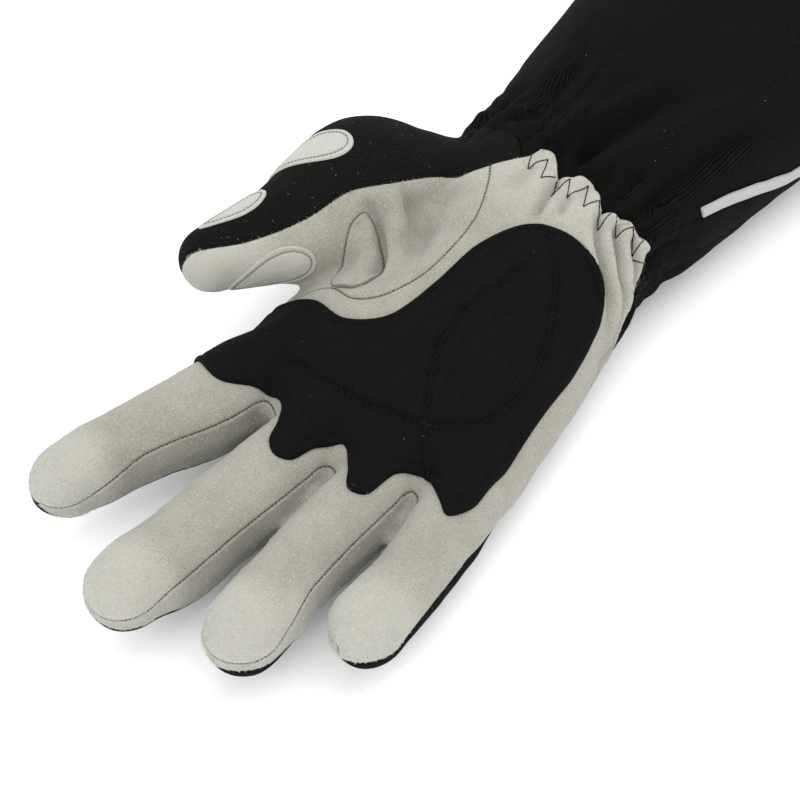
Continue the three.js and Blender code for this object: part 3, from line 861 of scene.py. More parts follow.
# Creases and soft folds: the depth (less than nought for a ridge), the half-width, the lift beside it, the shares
# of its length over which it fades in and out, and the line as seen from above
creases = [
    {
        "depth": 2.5, "wide": 1.3, "lift": 0.8,
        "line": [(-7, 33), (-5.4, 27.2), (-4, 22.6), (-2.8, 18.4), (-0.9, 13.7)],
    },
    {"depth": 1.9, "wide": 2, "lift": 0.7, "line": [(-14.6, 31.5), (-14.4, 26.1), (-13.9, 21.8), (-12.5, 18.4)]},
    {"depth": 1.9, "wide": 1.3, "lift": 0.6, "line": [(-0.9, 30), (0.4, 25.3), (3.1, 22.7)]},
    {
        "depth": 2.7, "wide": 1.3, "lift": 1.2,
        "line": [(6.6, 34), (9.9, 29.2), (12.4, 26.2), (16, 23.6), (20, 20.9), (24.3, 17.6), (26.9, 14), (29, 9)],
    },
    {
        "depth": 2.8, "wide": 1.3, "lift": 1.2,
        "line": [
            (11.2, 36), (14.2, 30.9), (18, 27.7), (21.9, 24.3),
            (24.2, 22.8), (26.5, 18.3), (28.7, 13.1), (31, 5),
        ],
    },
    {
        "depth": 2.5, "wide": 1.2, "lift": 0.9,
        "line": [(15.9, 37), (19.3, 32.2), (21, 32), (22.6, 29.7), (24.5, 26), (26.5, 21)],
    },
    {"depth": -1.3, "wide": 2.4, "line": [(-14.8, 36), (-13.1, 30.4), (-12.2, 25.7)]},
    {"depth": -1.1, "wide": 2, "line": [(-1.7, 36), (-1.3, 31), (0.6, 25)]},
    {"depth": -1.2, "wide": 2.2, "line": [(3, 35), (5.6, 29), (9, 24)]},
    {"depth": 3.6, "wide": 3, "lift": 0.8, "line": [(-9.3, 39), (-7.9, 45), (-7.3, 56.1), (-5.4, 65.7), (0, 79.6)]},
    {"depth": -2.8, "wide": 3.4, "line": [(-16.1, 39), (-17.2, 43.4), (-16.7, 54.6), (-13.6, 62.9)]},
    {"depth": -3, "wide": 3.8, "line": [(2.9, 39), (0.7, 47.5), (3.7, 59.7), (7.8, 79.3), (12.8, 102.7)]},
    {
        "depth": 2.8, "wide": 2.8, "lift": 0.8,
        "line": [(15.1, 39.4), (13.5, 49.3), (14.1, 62.6), (17, 84.2), (19, 98.6)],
    },
    {"depth": 2.2, "wide": 3, "lift": 0.6, "line": [(-27, 42), (-29, 50), (-31, 62), (-32, 76)]},
    {
        "depth": 3.2, "wide": 2, "fade": (0.15, 0.25),
        "line": [
            (-39.6, -7), (-36.3, -8.6), (-33.7, -9.3), (-30.4, -11.2),
            (-27.3, -14.2), (-24.6, -18.4), (-22.6, -22.7),
        ],
    },
    {
        "depth": -4, "wide": 2.4, "fade": (0.25, 0.4),
        "line": [(-38.4, -4.6), (-35.6, -4), (-32.6, -4.6), (-28.6, -7), (-25.6, -10), (-23.6, -13.5)],
    },
    {
        "depth": 3.4, "wide": 3.2, "fade": (0.25, 0.4),
        "line": [(-35.2, 0.6), (-31.4, 0.4), (-27.2, -0.8), (-22.2, -4.8), (-19.6, -9.6), (-18.8, -15)],
    },
    {"depth": 1.6, "wide": 6, "fade": (0.3, 0.3), "line": [(-32.9, 10), (-28.8, 6.7), (-24.3, 1.4), (-20.4, -4.8)]},
    {
        "depth": -1, "wide": 2.4, "fade": (0.2, 0.4),
        "line": [(-25.3, -27), (-19.7, -25.3), (-15.6, -22), (-14.2, -17.2), (-13.9, -10.4)],
    },
    {
        "depth": -1, "wide": 2.6, "fade": (0.2, 0.2), "panel": "thumb_gusset",
        "line": [(-34.7, -12), (-32.4, -14), (-29.3, -18), (-27.5, -23.2)],
    },
]


def creaseLift(points, panel=None):
    lift = np.zeros(len(points))
    for crease in creases:
        if crease.get("panel") != panel:
            continue
        path = onForm(openCurve(crease["line"], 6))
        near, gap, share = alongLine(path, points, crease["wide"] * 4)
        first, last = crease.get("fade", (0.12, 0.45))
        fade = smoothStep(share, 0, first) * smoothStep(-share, -1, last - 1)
        valley = bell(gap, crease["wide"])
        beside = bell(gap - 2.2 * crease["wide"], crease["wide"])
        lift[near] += fade * (crease.get("lift", 0) * beside - crease["depth"] * valley)
    return lift


# The elastic draws the wrist into small puckers, and slower ones run out along hand and cuff
gather = {
    "count": 24, "at": 42, "depth": 3.2, "waver": 0.3, "lumps": 1.5, "lumpSize": 4,
    "hand": 8, "cuff": 10, "slowHand": 16, "slowCuff": 34,
    "suedeShare": 0.85, "suedeAbove": (2, 8), "suedePast": (-25, -19), "suedeBefore": (-37, -34),
}


def gatherLift(points):
    row = rowAt(bodyRows, np.clip(points[:, 1], -20, hemY))
    turn = np.arctan2(points[:, 2] - row["mid"], points[:, 0] - row["x"])
    y = points[:, 1]
    waver = gather["waver"] * (np.sin(3 * turn + 0.09 * y + 1) + np.sin(5 * turn - 0.06 * y))
    wave = np.abs(np.sin(gather["count"] * (turn + waver * 0.25) / 2)) ** 0.6
    slow = np.abs(np.sin(gather["count"] * (turn + waver * 0.4) / 4 + 0.7)) ** 0.7
    before, after = np.minimum(y - gather["at"], 0), np.maximum(y - gather["at"], 0)
    size = bell(before, gather["hand"]) * bell(after, gather["cuff"])
    far = bell(before, gather["slowHand"]) * bell(after, gather["slowCuff"])
    suede = smoothStep(points[:, 2] - row["mid"], *gather["suedeAbove"]) * smoothStep(-y, *gather["suedeBefore"])
    suede *= smoothStep(points[:, 0], *gather["suedePast"])
    lumps = np.zeros(len(points))
    for i in np.nonzero((size > 0.05) & (suede < 1))[0]:
        lumps[i] = noise.noise(Vector(points[i]) / gather["lumpSize"])
    lift = gather["depth"] * (size * (wave - 0.75) * 0.75 + far * (slow - 0.7) * 0.5)
    return (lift + gather["lumps"] * lumps * size) * (1 - gather["suedeShare"] * suede)


slackWaves = [(0.5, 0.055, Vector()), (0.22, 0.16, Vector((7, 3, 1)))]  # how high, how close, and where they start


def softWaves(points):  # slack cloth is never quite even
    out = np.zeros(len(points))
    for i, p in enumerate(points):
        where = Vector(p)
        out[i] = sum(high * noise.noise(where * close + start) for high, close, start in slackWaves)
    return out


panelLift = {
    "groove": 0.6, "pillow": 0.45, "pillowReach": 5,
    "suedeEdge": 1, "knitEdge": 0.5, "edgeReach": 2.2, "stripDrop": 0.8,
    "flat": 0.85, "flatLeft": (24, 28), "flatPast": (30, 33),  # the groove between the knits is all but flat
}
dents = [  # places, reach and depth of hollows that aren't lines: the crotches, and the side of the index's root
    ((-17, -66, 23), 3.4, 2),
    ((8.7, -67.5, 23), 3.2, 2),
    ((29.3, -59, 22), 3, 1.8),
    ((-43, -47, 24), 13, 2.6),
]


def dentLift(points):
    lift = np.zeros(len(points))
    for place, reach, depth in dents:
        lift -= depth * np.exp(-((points - place) ** 2).sum(1) / reach**2)
    return lift


def sculpted():
    points = skinPoints
    groove = np.interp(skinSeam, [0, *grooveRows], [-1, -0.25, 0, 0]) * panelLift["groove"]
    share = smoothStep(-points[:, 0], *panelLift["flatLeft"]) * smoothStep(points[:, 1], *panelLift["flatPast"])
    groove *= 1 - panelLift["flat"] * share
    pillow = panelLift["pillow"] * (1 - bell(skinSeam, panelLift["pillowReach"]))
    lift = creaseLift(points) + gatherLift(points) + softWaves(points) + dentLift(points)
    moved = points + skinNormals * lift[:, None]
    return moved, groove + pillow


print("sculpting")
skinMoved, seamLift = sculpted()
skinMoved = aboveFloor(skinMoved)
movedNormals = unit(averaged(skinMoved, skinFaces, normalsOf(skinMoved, skinFaces), 2))


def usedOnly(points, faces, *others):
    used, faces = np.unique(faces.ravel(), return_inverse=True)
    return [points[used], faces.reshape(-1, 3)] + [other[used] for other in others]


def halved(points, faces, *others):  # every triangle cut into four
    edges = edgesOf(faces)
    count = len(points)
    keys = edges[:, 0] * count + edges[:, 1]

    def middle(a, b):
        return count + np.searchsorted(keys, np.minimum(a, b) * count + np.maximum(a, b))

    a, b, c = faces.T
    ab, bc, ca = middle(a, b), middle(b, c), middle(c, a)
    faces = np.concatenate([np.stack(t, 1) for t in ((a, ab, ca), (ab, b, bc), (ca, bc, c), (ab, bc, ca))])
    grown = [np.concatenate([v, (v[edges[:, 0]] + v[edges[:, 1]]) / 2]) for v in (points, *others)]
    return [grown[0], faces] + grown[1:]


def rimEdges(faces, count):  # edges with a face on one side alone
    sides = sidesOf(faces)
    back = sides[:, 1] * count + sides[:, 0]
    return sides[~np.isin(sides[:, 0] * count + sides[:, 1], back)]


def onRim(faces, count):
    out = np.zeros(count, bool)
    out[rimEdges(faces, count).ravel()] = True
    return out


def rimmed(points, faces, normals, deep):  # a cut edge as thick as the cloth
    rim = rimEdges(faces, len(points))
    corner, index = np.unique(rim.ravel(), return_inverse=True)
    index = index.reshape(-1, 2) + len(points)
    lower = aboveFloor(points[corner] - normals[corner] * deep)
    a, b, a2, b2 = rim[:, 0], rim[:, 1], index[:, 0], index[:, 1]
    quads = np.concatenate([np.stack([b, a, a2], 1), np.stack([b, a2, b2], 1)])
    return np.concatenate([points, lower]), np.concatenate([faces, quads]), corner


def meshOf(name, points, faces, values=None, cloth=None):
    mesh = bpy.data.meshes.new(name)
    mesh.vertices.add(len(points))
    mesh.vertices.foreach_set("co", np.ascontiguousarray(points * mm, np.float32).ravel())
    mesh.loops.add(len(faces) * 3)
    mesh.loops.foreach_set("vertex_index", np.ascontiguousarray(faces, np.int32).ravel())
    mesh.polygons.add(len(faces))
    mesh.polygons.foreach_set("loop_start", np.arange(0, len(faces) * 3, 3, dtype=np.int32))
    mesh.update(calc_edges=True)
    mesh.validate()
    mesh.shade_smooth()
    for key, value in (values or {}).items():
        mesh.attributes.new(key, "FLOAT", "POINT").data.foreach_set("value", value.astype(np.float32))
    if cloth is not None:
        layer = mesh.uv_layers.new(name="cloth")
        layer.data.foreach_set("uv", cloth[faces.ravel()].astype(np.float32).ravel())
    made = bpy.data.objects.new(name, mesh)
    bpy.context.collection.objects.link(made)
    return made


def settle(made, material, nodes=()):
    made.data.materials.append(material)
    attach(made, body)
    if nodes:
        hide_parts(*nodes)
    return made


# Patterns that more than one material uses, as node groups
def groupOf(name, inputs, outputs):
    group = bpy.data.node_groups.new(name, "ShaderNodeTree")
    for socket, kind, value in inputs:
        made = group.interface.new_socket(name=socket, in_out="INPUT", socket_type=kind)
        if value is not None:
            made.default_value = value
    for socket in outputs:
        group.interface.new_socket(name=socket, in_out="OUTPUT", socket_type="NodeSocketFloat")
    return group, group.nodes.new("NodeGroupInput"), group.nodes.new("NodeGroupOutput")


def node(tree, kind, links=None, **settings):
    made = tree.nodes.new(kind)
    for key, value in settings.items():
        setattr(made, key, value)
    for key, value in (links or {}).items():
        if isinstance(value, bpy.types.NodeSocket):
            tree.links.new(value, made.inputs[key])
        else:
            made.inputs[key].default_value = value
    return made


def maths(tree, operation, *values):
    return node(tree, "ShaderNodeMath", dict(enumerate(values)), operation=operation).outputs[0]


def spread(tree, value, low, high, first=0, last=1):  # value between low and high, mapped onto first to last
    links = {"Value": value, "From Min": low, "From Max": high, "To Min": first, "To Max": last}
    return node(tree, "ShaderNodeMapRange", links, interpolation_type="SMOOTHSTEP").outputs[0]


def noiseOf(tree, vector, scale, detail=2.0, rough=0.5):
    links = {"Vector": vector, "Scale": scale, "Detail": detail, "Roughness": rough}
    return node(tree, "ShaderNodeTexNoise", links).outputs["Fac"]


def napGroup():  # brushed leather: fine grain, brushed spots and broad patches
    inputs = [("Vector", "NodeSocketVector", None), ("Fine", "NodeSocketFloat", 1500), ("Nap", "NodeSocketFloat", 0)]
    group, given, out = groupOf("nap", inputs, ["Tone", "Height"])
    where = given.outputs["Vector"]
    fine = noiseOf(group, where, given.outputs["Fine"], 3, 0.65)
    spots = noiseOf(group, where, maths(group, "MULTIPLY", given.outputs["Fine"], 0.6), 2, 0.5)
    broad = noiseOf(group, where, 110, 3, 0.5)
    amount = spread(group, given.outputs["Nap"], 0, 1, 0.9, 1.6)
    grain = maths(group, "MULTIPLY", maths(group, "SUBTRACT", fine, 0.5), amount)
    grainSpots = maths(group, "MULTIPLY", maths(group, "SUBTRACT", spots, 0.5), amount)
    grainSpots = maths(group, "MULTIPLY", grainSpots, 0.5)
    soft = maths(group, "MULTIPLY", maths(group, "SUBTRACT", broad, 0.5), 0.2)
    tone = maths(group, "ADD", maths(group, "ADD", grain, grainSpots), soft)
    group.links.new(maths(group, "ADD", tone, 0.5), out.inputs["Tone"])
    group.links.new(maths(group, "ADD", maths(group, "MULTIPLY", grain, 0.6), grainSpots), out.inputs["Height"])
    return group


def knitGroup():  # fine ribs of small loops along the cloth, with some fuzz; the map is in millimetres
    inputs = [(name, "NodeSocketVector", None) for name in ("Cloth", "Vector")] + [("Pitch", "NodeSocketFloat", 0.6)]
    group, given, out = groupOf("knit", inputs, ["Tone", "Height"])
    apart = node(group, "ShaderNodeSeparateXYZ", {"Vector": given.outputs["Cloth"]})
    waver = maths(group, "MULTIPLY", noiseOf(group, given.outputs["Vector"], 220, 1), 0.5)
    across = maths(group, "DIVIDE", maths(group, "ADD", apart.outputs["X"], waver), given.outputs["Pitch"])
    turn = maths(group, "MULTIPLY", across, 2 * math.pi)
    rib = maths(group, "ABSOLUTE", maths(group, "SINE", maths(group, "MULTIPLY", turn, 0.5)))
    slant = maths(group, "ABSOLUTE", maths(group, "SUBTRACT", maths(group, "FRACT", across), 0.5))
    loops = maths(group, "ADD", maths(group, "DIVIDE", apart.outputs["Y"], given.outputs["Pitch"]), slant)
    loop = maths(group, "ABSOLUTE", maths(group, "SINE", maths(group, "MULTIPLY", loops, math.pi)))
    fuzz = noiseOf(group, given.outputs["Vector"], 1900, 2, 0.6)
    height = maths(group, "ADD", rib, maths(group, "MULTIPLY", loop, 0.35))
    group.links.new(maths(group, "ADD", height, maths(group, "MULTIPLY", fuzz, 0.6)), out.inputs["Height"])
    tone = maths(group, "ADD", maths(group, "MULTIPLY", rib, 0.45), maths(group, "MULTIPLY", fuzz, 0.75))
    group.links.new(tone, out.inputs["Tone"])
    return group


def lintGroup():  # sparse specks of light dust
    inputs = [("Vector", "NodeSocketVector", None), ("Amount", "NodeSocketFloat", 0.1)]
    group, given, out = groupOf("lint", inputs, ["Mask"])
    cells = node(group, "ShaderNodeTexVoronoi", {"Vector": given.outputs["Vector"], "Scale": 900})
    chosen = node(group, "ShaderNodeSeparateColor", {"Color": cells.outputs["Color"]}).outputs[0]
    small = spread(group, cells.outputs["Distance"], 0.05, 0.22, 0.75, 0)
    rare = maths(group, "LESS_THAN", chosen, given.outputs["Amount"])
    group.links.new(maths(group, "MULTIPLY", small, rare), out.inputs["Mask"])
    return group


groups = {"nap": napGroup(), "knit": knitGroup(), "lint": lintGroup()}
underLights = 0.47  # the lights are bright, so a colour is darker than it shows


def linear(color):  # a shown 0 to 255 colour as the light that it reflects
    share = [c / 255 for c in color]
    return tuple(underLights * (s / 12.92 if s <= 0.04045 else ((s + 0.055) / 1.055) ** 2.4) for s in share) + (1,)


def material(name, rough, sheen=0.0, specular=0.15):
    made = bpy.data.materials.new(name)
    made.use_nodes = True
    tree = made.node_tree
    shader = tree.nodes["Principled BSDF"]
    shader.inputs["Roughness"].default_value = rough
    shader.inputs["Specular IOR Level"].default_value = specular
    shader.inputs["Sheen Weight"].default_value = sheen
    shader.inputs["Sheen Roughness"].default_value = 0.6
    return made, tree, shader


def blended(tree, share, first, second):
    return node(tree, "ShaderNodeMix", {0: share, 6: first, 7: second}, data_type="RGBA").outputs[2]


def useGroup(tree, name, links):
    return node(tree, "ShaderNodeGroup", links, node_tree=groups[name])


def finished(tree, shader, color, height, distance, strength=1.0):  # the colour, and the relief as a bump
    bump = node(tree, "ShaderNodeBump", {"Height": height, "Distance": distance, "Strength": strength})
    tree.links.new(color, shader.inputs["Base Color"])
    tree.links.new(bump.outputs[0], shader.inputs["Normal"])


def objectPlace(tree):
    return node(tree, "ShaderNodeTexCoord").outputs["Object"]


def clothPlace(tree):
    return node(tree, "ShaderNodeUVMap", uv_map="cloth").outputs["UV"]


def attribute(tree, name):
    return node(tree, "ShaderNodeAttribute", attribute_name=name).outputs["Fac"]


def suede(name, dark, light, fine, seamShadeColor, lint=0.0, sheen=0.2):
    made, tree, shader = material(name, 0.95, sheen, 0.06)
    where = objectPlace(tree)
    nap, seam = attribute(tree, "nap"), attribute(tree, "seam")
    grain = useGroup(tree, "nap", {"Vector": where, "Fine": fine, "Nap": nap})
    tone = maths(tree, "ADD", grain.outputs["Tone"], maths(tree, "MULTIPLY", nap, 0.54))
    color = blended(tree, spread(tree, tone, 0.1, 0.9), linear(dark), linear(light))
    if lint:
        specks = useGroup(tree, "lint", {"Vector": where, "Amount": lint})
        color = blended(tree, specks.outputs["Mask"], color, linear((150, 150, 146)))
    # Painted shade: near a seam the colour is drawn up to halfway towards the seam colour given, which stands for the
    # shade in the seam's groove.
    line = spread(tree, seam, 0.05, 0.42, 0.5, 0)
    color = blended(tree, line, color, linear(seamShadeColor))
    finished(tree, shader, color, grain.outputs["Height"], 0.0005, 0.8)
    return made


def knit(name, dark, light, pitch, lint):
    made, tree, shader = material(name, 0.88, 0.0, 0.05)
    where = objectPlace(tree)
    cloth = clothPlace(tree)
    loops = useGroup(tree, "knit", {"Cloth": cloth, "Vector": where, "Pitch": pitch})
    specks = useGroup(tree, "lint", {"Vector": where, "Amount": lint})
    color = blended(tree, spread(tree, loops.outputs["Tone"], 0.3, 1.15), linear(dark), linear(light))
    color = blended(tree, specks.outputs["Mask"], color, linear((170, 170, 165)))
    finished(tree, shader, color, loops.outputs["Height"], 0.00022, 0.9)
    return made


def thread(name, color, bright=1):
    made, tree, shader = material(name, 0.8, 0.0, 0.2)
    where = objectPlace(tree)
    twist = noiseOf(tree, where, 2600, 1)
    darker = tuple(c * 0.6 for c in color)
    lighter = tuple(bright * c for c in linear(color)[:3]) + (1,)
    finished(tree, shader, blended(tree, twist, linear(darker), lighter), twist, 0.0001)
    return made


def ribbon(name):
    made, tree, shader = material(name, 0.7, 0.0, 0.25)
    apart = node(tree, "ShaderNodeSeparateXYZ", {"Vector": clothPlace(tree)})
    rows = [
        maths(tree, "SINE", maths(tree, "MULTIPLY", apart.outputs[axis], 2 * math.pi / pitch))
        for axis, pitch in (("X", 0.45), ("Y", 0.3))
    ]
    weave = maths(tree, "MULTIPLY", rows[0], rows[1])
    color = blended(tree, spread(tree, weave, -1, 1), linear((226, 227, 226)), linear((240, 241, 240)))
    finished(tree, shader, color, weave, 0.00006)
    return made


# The last colour given to each suede is the painted shade of its seam grooves.
looks = {
    "palm": suede("greySuede", (138, 135, 115), (226, 224, 210), 4200, (96, 93, 78)),
    "patchSuede": suede("lightSuede", (172, 172, 162), (232, 232, 224), 3400, (150, 149, 138)),
    "blackSuede": suede("blackSuede", (2, 2, 2), (27, 27, 27), 2600, (9, 9, 9), 0.006, 0.0),
    "cuff": knit("cuffKnit", (1, 1, 1), (38, 38, 36), 0.66, 0.004),
    "back": knit("backKnit", (2, 2, 2), (46, 46, 44), 0.7, 0.09),
    "greyThread": thread("oliveThread", (112, 109, 92)),
    "paleThread": thread("paleThread", (176, 175, 164)),
    "napThread": thread("napThread", (255, 254, 246), 1.7),
    "blackThread": thread("blackThread", (20, 19, 18)),
    "ribbon": ribbon("whiteRibbon"),
}
print("materials made")


wristSeam = seams[(panelNames.index("palm_panel"), panelNames.index("gauntlet_front"))]
wristGap = distanceTo(wristSeam, skinPoints, seamReach)


def edgeLift(kind):  # what one panel does by itself
    lift = creaseLift(skinPoints, kind)
    near = bell(wristGap, panelLift["edgeReach"])
    if kind.startswith("gauntlet"):  # the suede lies over the cuff's edge, and the cuff is drawn in under it
        lift -= panelLift["knitEdge"] * near
    if kind in ("palm_panel", "thumb_panel"):
        lift += (panelLift["suedeEdge"] + panelLift["groove"]) * near
    if kind.startswith("fourchette"):  # the side strips are drawn in under the palm's edge
        lift -= panelLift["stripDrop"] * (1 - bell(skinSeam, panelLift["edgeReach"]))
    return lift


# The gusset's far side rolls over towards the valley beside it
gusset = {
    "rise": 1.8,
    "low": [(-35.6, -10.6, 40.9), (-36.4, -13.5, 40), (-35.5, -17, 36.5), (-33.3, -22.3, 32.3), (-31.5, -26.5, 32)],
    "high": [
        (-34.1, -10.3, 39.8), (-31.3, -12, 37.6), (-28.8, -14.1, 36.5), (-26.1, -17.9, 36.3),
        (-24.2, -22.1, 36.3), (-24.4, -25, 35.9), (-28.1, -26.2, 34.3),
    ],
}


def rolledOver(points, faces, normals, seam, flat):
    for _ in range(2):
        points, faces, normals, seam, flat = halved(points, faces, normals, seam, flat)
    low, high = [distanceTo([openCurve(gusset[side])], flat, 30) for side in ("low", "high")]
    share = low / np.maximum(low + high, 0.1)
    rise = gusset["rise"] * share**1.2 * (1 - share**7)
    points = points + normals * rise[:, None]
    return averaged(points, faces, points, 2), faces, normals, seam


def panelSurface(kind):  # the finished surface of one panel: points, faces, normals and distance to a seam
    faces = skinFaces[panelOf == panelNames.index(kind)]
    points = skinMoved + movedNormals * (seamLift + edgeLift(kind))[:, None]
    points, faces, normals, seam, flat = usedOnly(points, faces, movedNormals, skinSeam, skinPoints)
    return rolledOver(points, faces, normals, seam, flat) if kind == "thumb_gusset" else (points, faces, normals, seam)


surfaces = {kind: panelSurface(kind) for kind in panelNames}


rubbed = {"tips": (-26, -8), "thumbNearer": 6, "wrist": 0.4, "wristY": (12, 26), "wristZ": (16, 22)}


def napOf(points):  # the leather is rubbed up at the finger tips, on the thumb and a little at the wrist
    nearest = np.full(len(points), 99.0)
    for name in fingers + ["thumb"]:
        tip = [tubeRows[name][axis][-1] for axis in "xyz"]
        nearer = rubbed["thumbNearer"] if name == "thumb" else 0
        nearest = np.minimum(nearest, np.linalg.norm(points - tip, axis=1) - nearer)
    wrist = smoothStep(points[:, 1], *rubbed["wristY"]) * smoothStep(points[:, 2], *rubbed["wristZ"])
    return np.maximum(smoothStep(-nearest, *rubbed["tips"]), rubbed["wrist"] * wrist)


clothThick = 1.4
clothSpread = {"thumb": 17, "cuff": 40}  # millimetres of cloth for each radian round thumb and cuff
thumbClothFrom = (12, 24)  # heights between which the cloth starts to turn round the thumb


def clothMap(kind, points):  # where each point is on the flat cloth, in millimetres
    if kind == "back_panel":
        axis = rowAt(thumbBack, np.clip(points[:, 1], *thumbBack["y"][[0, -1]]))
        aroundThumb = np.arctan2(points[:, 2] - axis["z"], axis["x"] - points[:, 0]) * clothSpread["thumb"]
        onThumb = smoothStep(points[:, 2], *thumbClothFrom)
        return np.stack([points[:, 0] * (1 - onThumb) + aroundThumb * onThumb, points[:, 1]], 1)
    row = rowAt(bodyRows, np.clip(points[:, 1], 30, hemY))
    turn = np.arctan2(points[:, 2] - row["mid"], points[:, 0] - row["x"])
    turn = np.where(turn < -math.pi / 2, turn + 2 * math.pi, turn)
    return np.stack([turn * clothSpread["cuff"], points[:, 1]], 1)


pieces = {}
for kind in panelNames[:-2]:
    knitted = kind == "back_panel"
    points, faces, normals, seam = surfaces[kind]
    points, faces, corner = rimmed(points, faces, normals, clothThick)
    # The seam distance darkens the suede along each seam: painted shade in the grooves.
    values = {"seam": np.concatenate([seam, seam[corner]]), "nap": napOf(points)}
    made = meshOf("soft_" + kind, points, faces, values, clothMap(kind, points) if knitted else None)
    pieces[kind] = settle(made, looks["back" if knitted else "palm"], [kind])
print("panels made")

# The cuff: a hemmed tube, open at the end
hem = {"from": 156, "over": 2, "out": 0.7, "groove": 0.5, "grooveWide": 0.8, "thick": 1.7, "straight": 1.2}


def cuffPiece(kind):
    points, faces, normals, seam = surfaces[kind]
    y = points[:, 1]
    line = bell(y - hem["from"], hem["grooveWide"])
    lift = hem["out"] * smoothStep(y, hem["from"], hem["from"] + hem["over"]) - hem["groove"] * line
    points = aboveFloor(points + normals * lift[:, None])
    points[onRim(faces, len(points)) & (y > hemY - hem["straight"]), 1] = hemY
    made = meshOf("soft_" + kind, points, faces, {"seam": seam}, clothMap(kind, points))
    applyModifier(made, "SOLIDIFY", thickness=hem["thick"] * mm, offset=-1)
    setPoints(made, aboveFloor(getPoints(made)))
    return settle(made, looks["cuff"], [kind])


for kind in panelNames[-2:]:
    pieces[kind] = cuffPiece(kind)
print("cuff made")


# Patches: a region of the surface below, lifted and cut out with a rounded edge
def patchSurface(base, fieldOf, rows):
    points, faces = base
    marks = np.zeros((len(faces), 1), bool)
    for step in rows:
        points, faces, marks, inside = cutAlong(points, faces, marks, fieldOf(points) - step)
        if step == 0:
            points, faces, marks = *usedOnly(points, faces[inside]), marks[inside]
    points, faces = halved(points, faces)
    rim = onRim(faces, len(points))
    for _ in range(3):
        points = np.where(rim[:, None], points, averaged(points, faces, points, 1))
    normals = unit(averaged(points, faces, normalsOf(points, faces), 3))
    return points, faces, normals, np.maximum(fieldOf(points), 0)


palmPatchForm = {
    "edge": 0.55, "thick": 1.1, "lip": 2.2, "trough": 0.3, "troughWide": 0.5, "pillow": 0.7, "pillowReach": 6,
    "quilt": 1.05, "quiltWide": 1.1, "least": 0.4,
}
quiltLines = [
    [
        (-44.7, -46.8), (-31.1, -50.3), (-17.6, -52.4), (-0.1, -51.7), (12.1, -48), (20.3, -43.8), (24.3, -40.8),
        (28.4, -34.2), (29.4, -28.1), (28.6, -16.4), (24.8, -6.9), (17.9, 3.3), (10.4, 11.9), (4.8, 16),
    ],
    [
        (28, -52.3), (22.3, -47.5), (18.7, -43.9), (15.5, -39.6), (9, -30.5), (5.7, -21.8), (5.1, -10.3),
        (6.5, -0.8), (7.2, 4.1),
    ],
]
quiltPaths = [onForm(openCurve(line, 6), 0.5) for line in quiltLines]


def palmPatchPiece():
    shape = palmPatchForm
    rows = [0, 0.5, 1.4, shape["lip"]]
    points, faces, normals, inner = patchSurface(surfaces["palm_panel"][:2], inPalmPatch, rows)
    past = inner - shape["lip"]
    lift = np.interp(inner, [0, 0.25, 0.6, 1.2], [shape["edge"], 0.85, shape["thick"], shape["thick"] + 0.1])
    lift -= shape["trough"] * bell(past, shape["troughWide"])
    lift += shape["pillow"] * (1 - bell(np.maximum(past, 0), shape["pillowReach"]))
    dip = np.zeros(len(points))
    for path in quiltPaths:
        near, gap, share = alongLine(path, points, 6)
        dip[near] = np.maximum(dip[near], shape["quilt"] * bell(gap, shape["quiltWide"]))
    outer = points + normals * np.maximum(lift - dip, shape["least"])[:, None]
    solid, faces, corner = rimmed(outer, faces, normals, shape["edge"] + 0.5)
    values = {"seam": np.full(len(solid), 9.0), "nap": np.full(len(solid), 0.2)}
    made = meshOf("soft_palm_patch", solid, faces, values)
    return settle(made, looks["blackSuede"], ["palm_patch"]), outer, faces[: -2 * len(corner)]


pieces["palm_patch"], patchOuter, patchFaces = palmPatchPiece()

thumbPatches = [  # the middle, which way it faces, and how much narrower and how turned its tail is
    {
        "kind": "thumb_pad_patch", "at": (-44.5, -36, 32), "faces": (0.93, -0.3, 0.2),
        "length": 23, "width": 14.5, "tail": 0.35, "turn": -20,
    },
    {
        "kind": "thumb_knuckle_patch", "at": (-59.6, -8.4, 45), "faces": (-0.5, -0.1, 0.86),
        "length": 26, "width": 15, "tail": 0.55, "turn": 44,
    },
    {
        "kind": "thumb_nail_patch", "at": (-62, -33.5, 41), "faces": (-0.55, -0.2, 0.81),
        "length": 20, "width": 10, "tail": 0.5, "turn": 22,
    },
]
thumbPatchForm = {
    "edge": 0.2, "thick": 0.6, "inset": 1.3, "groove": 0.3, "grooveWide": 0.45, "pillow": 0.4, "pillowReach": 3,
    "reach": 19,
}


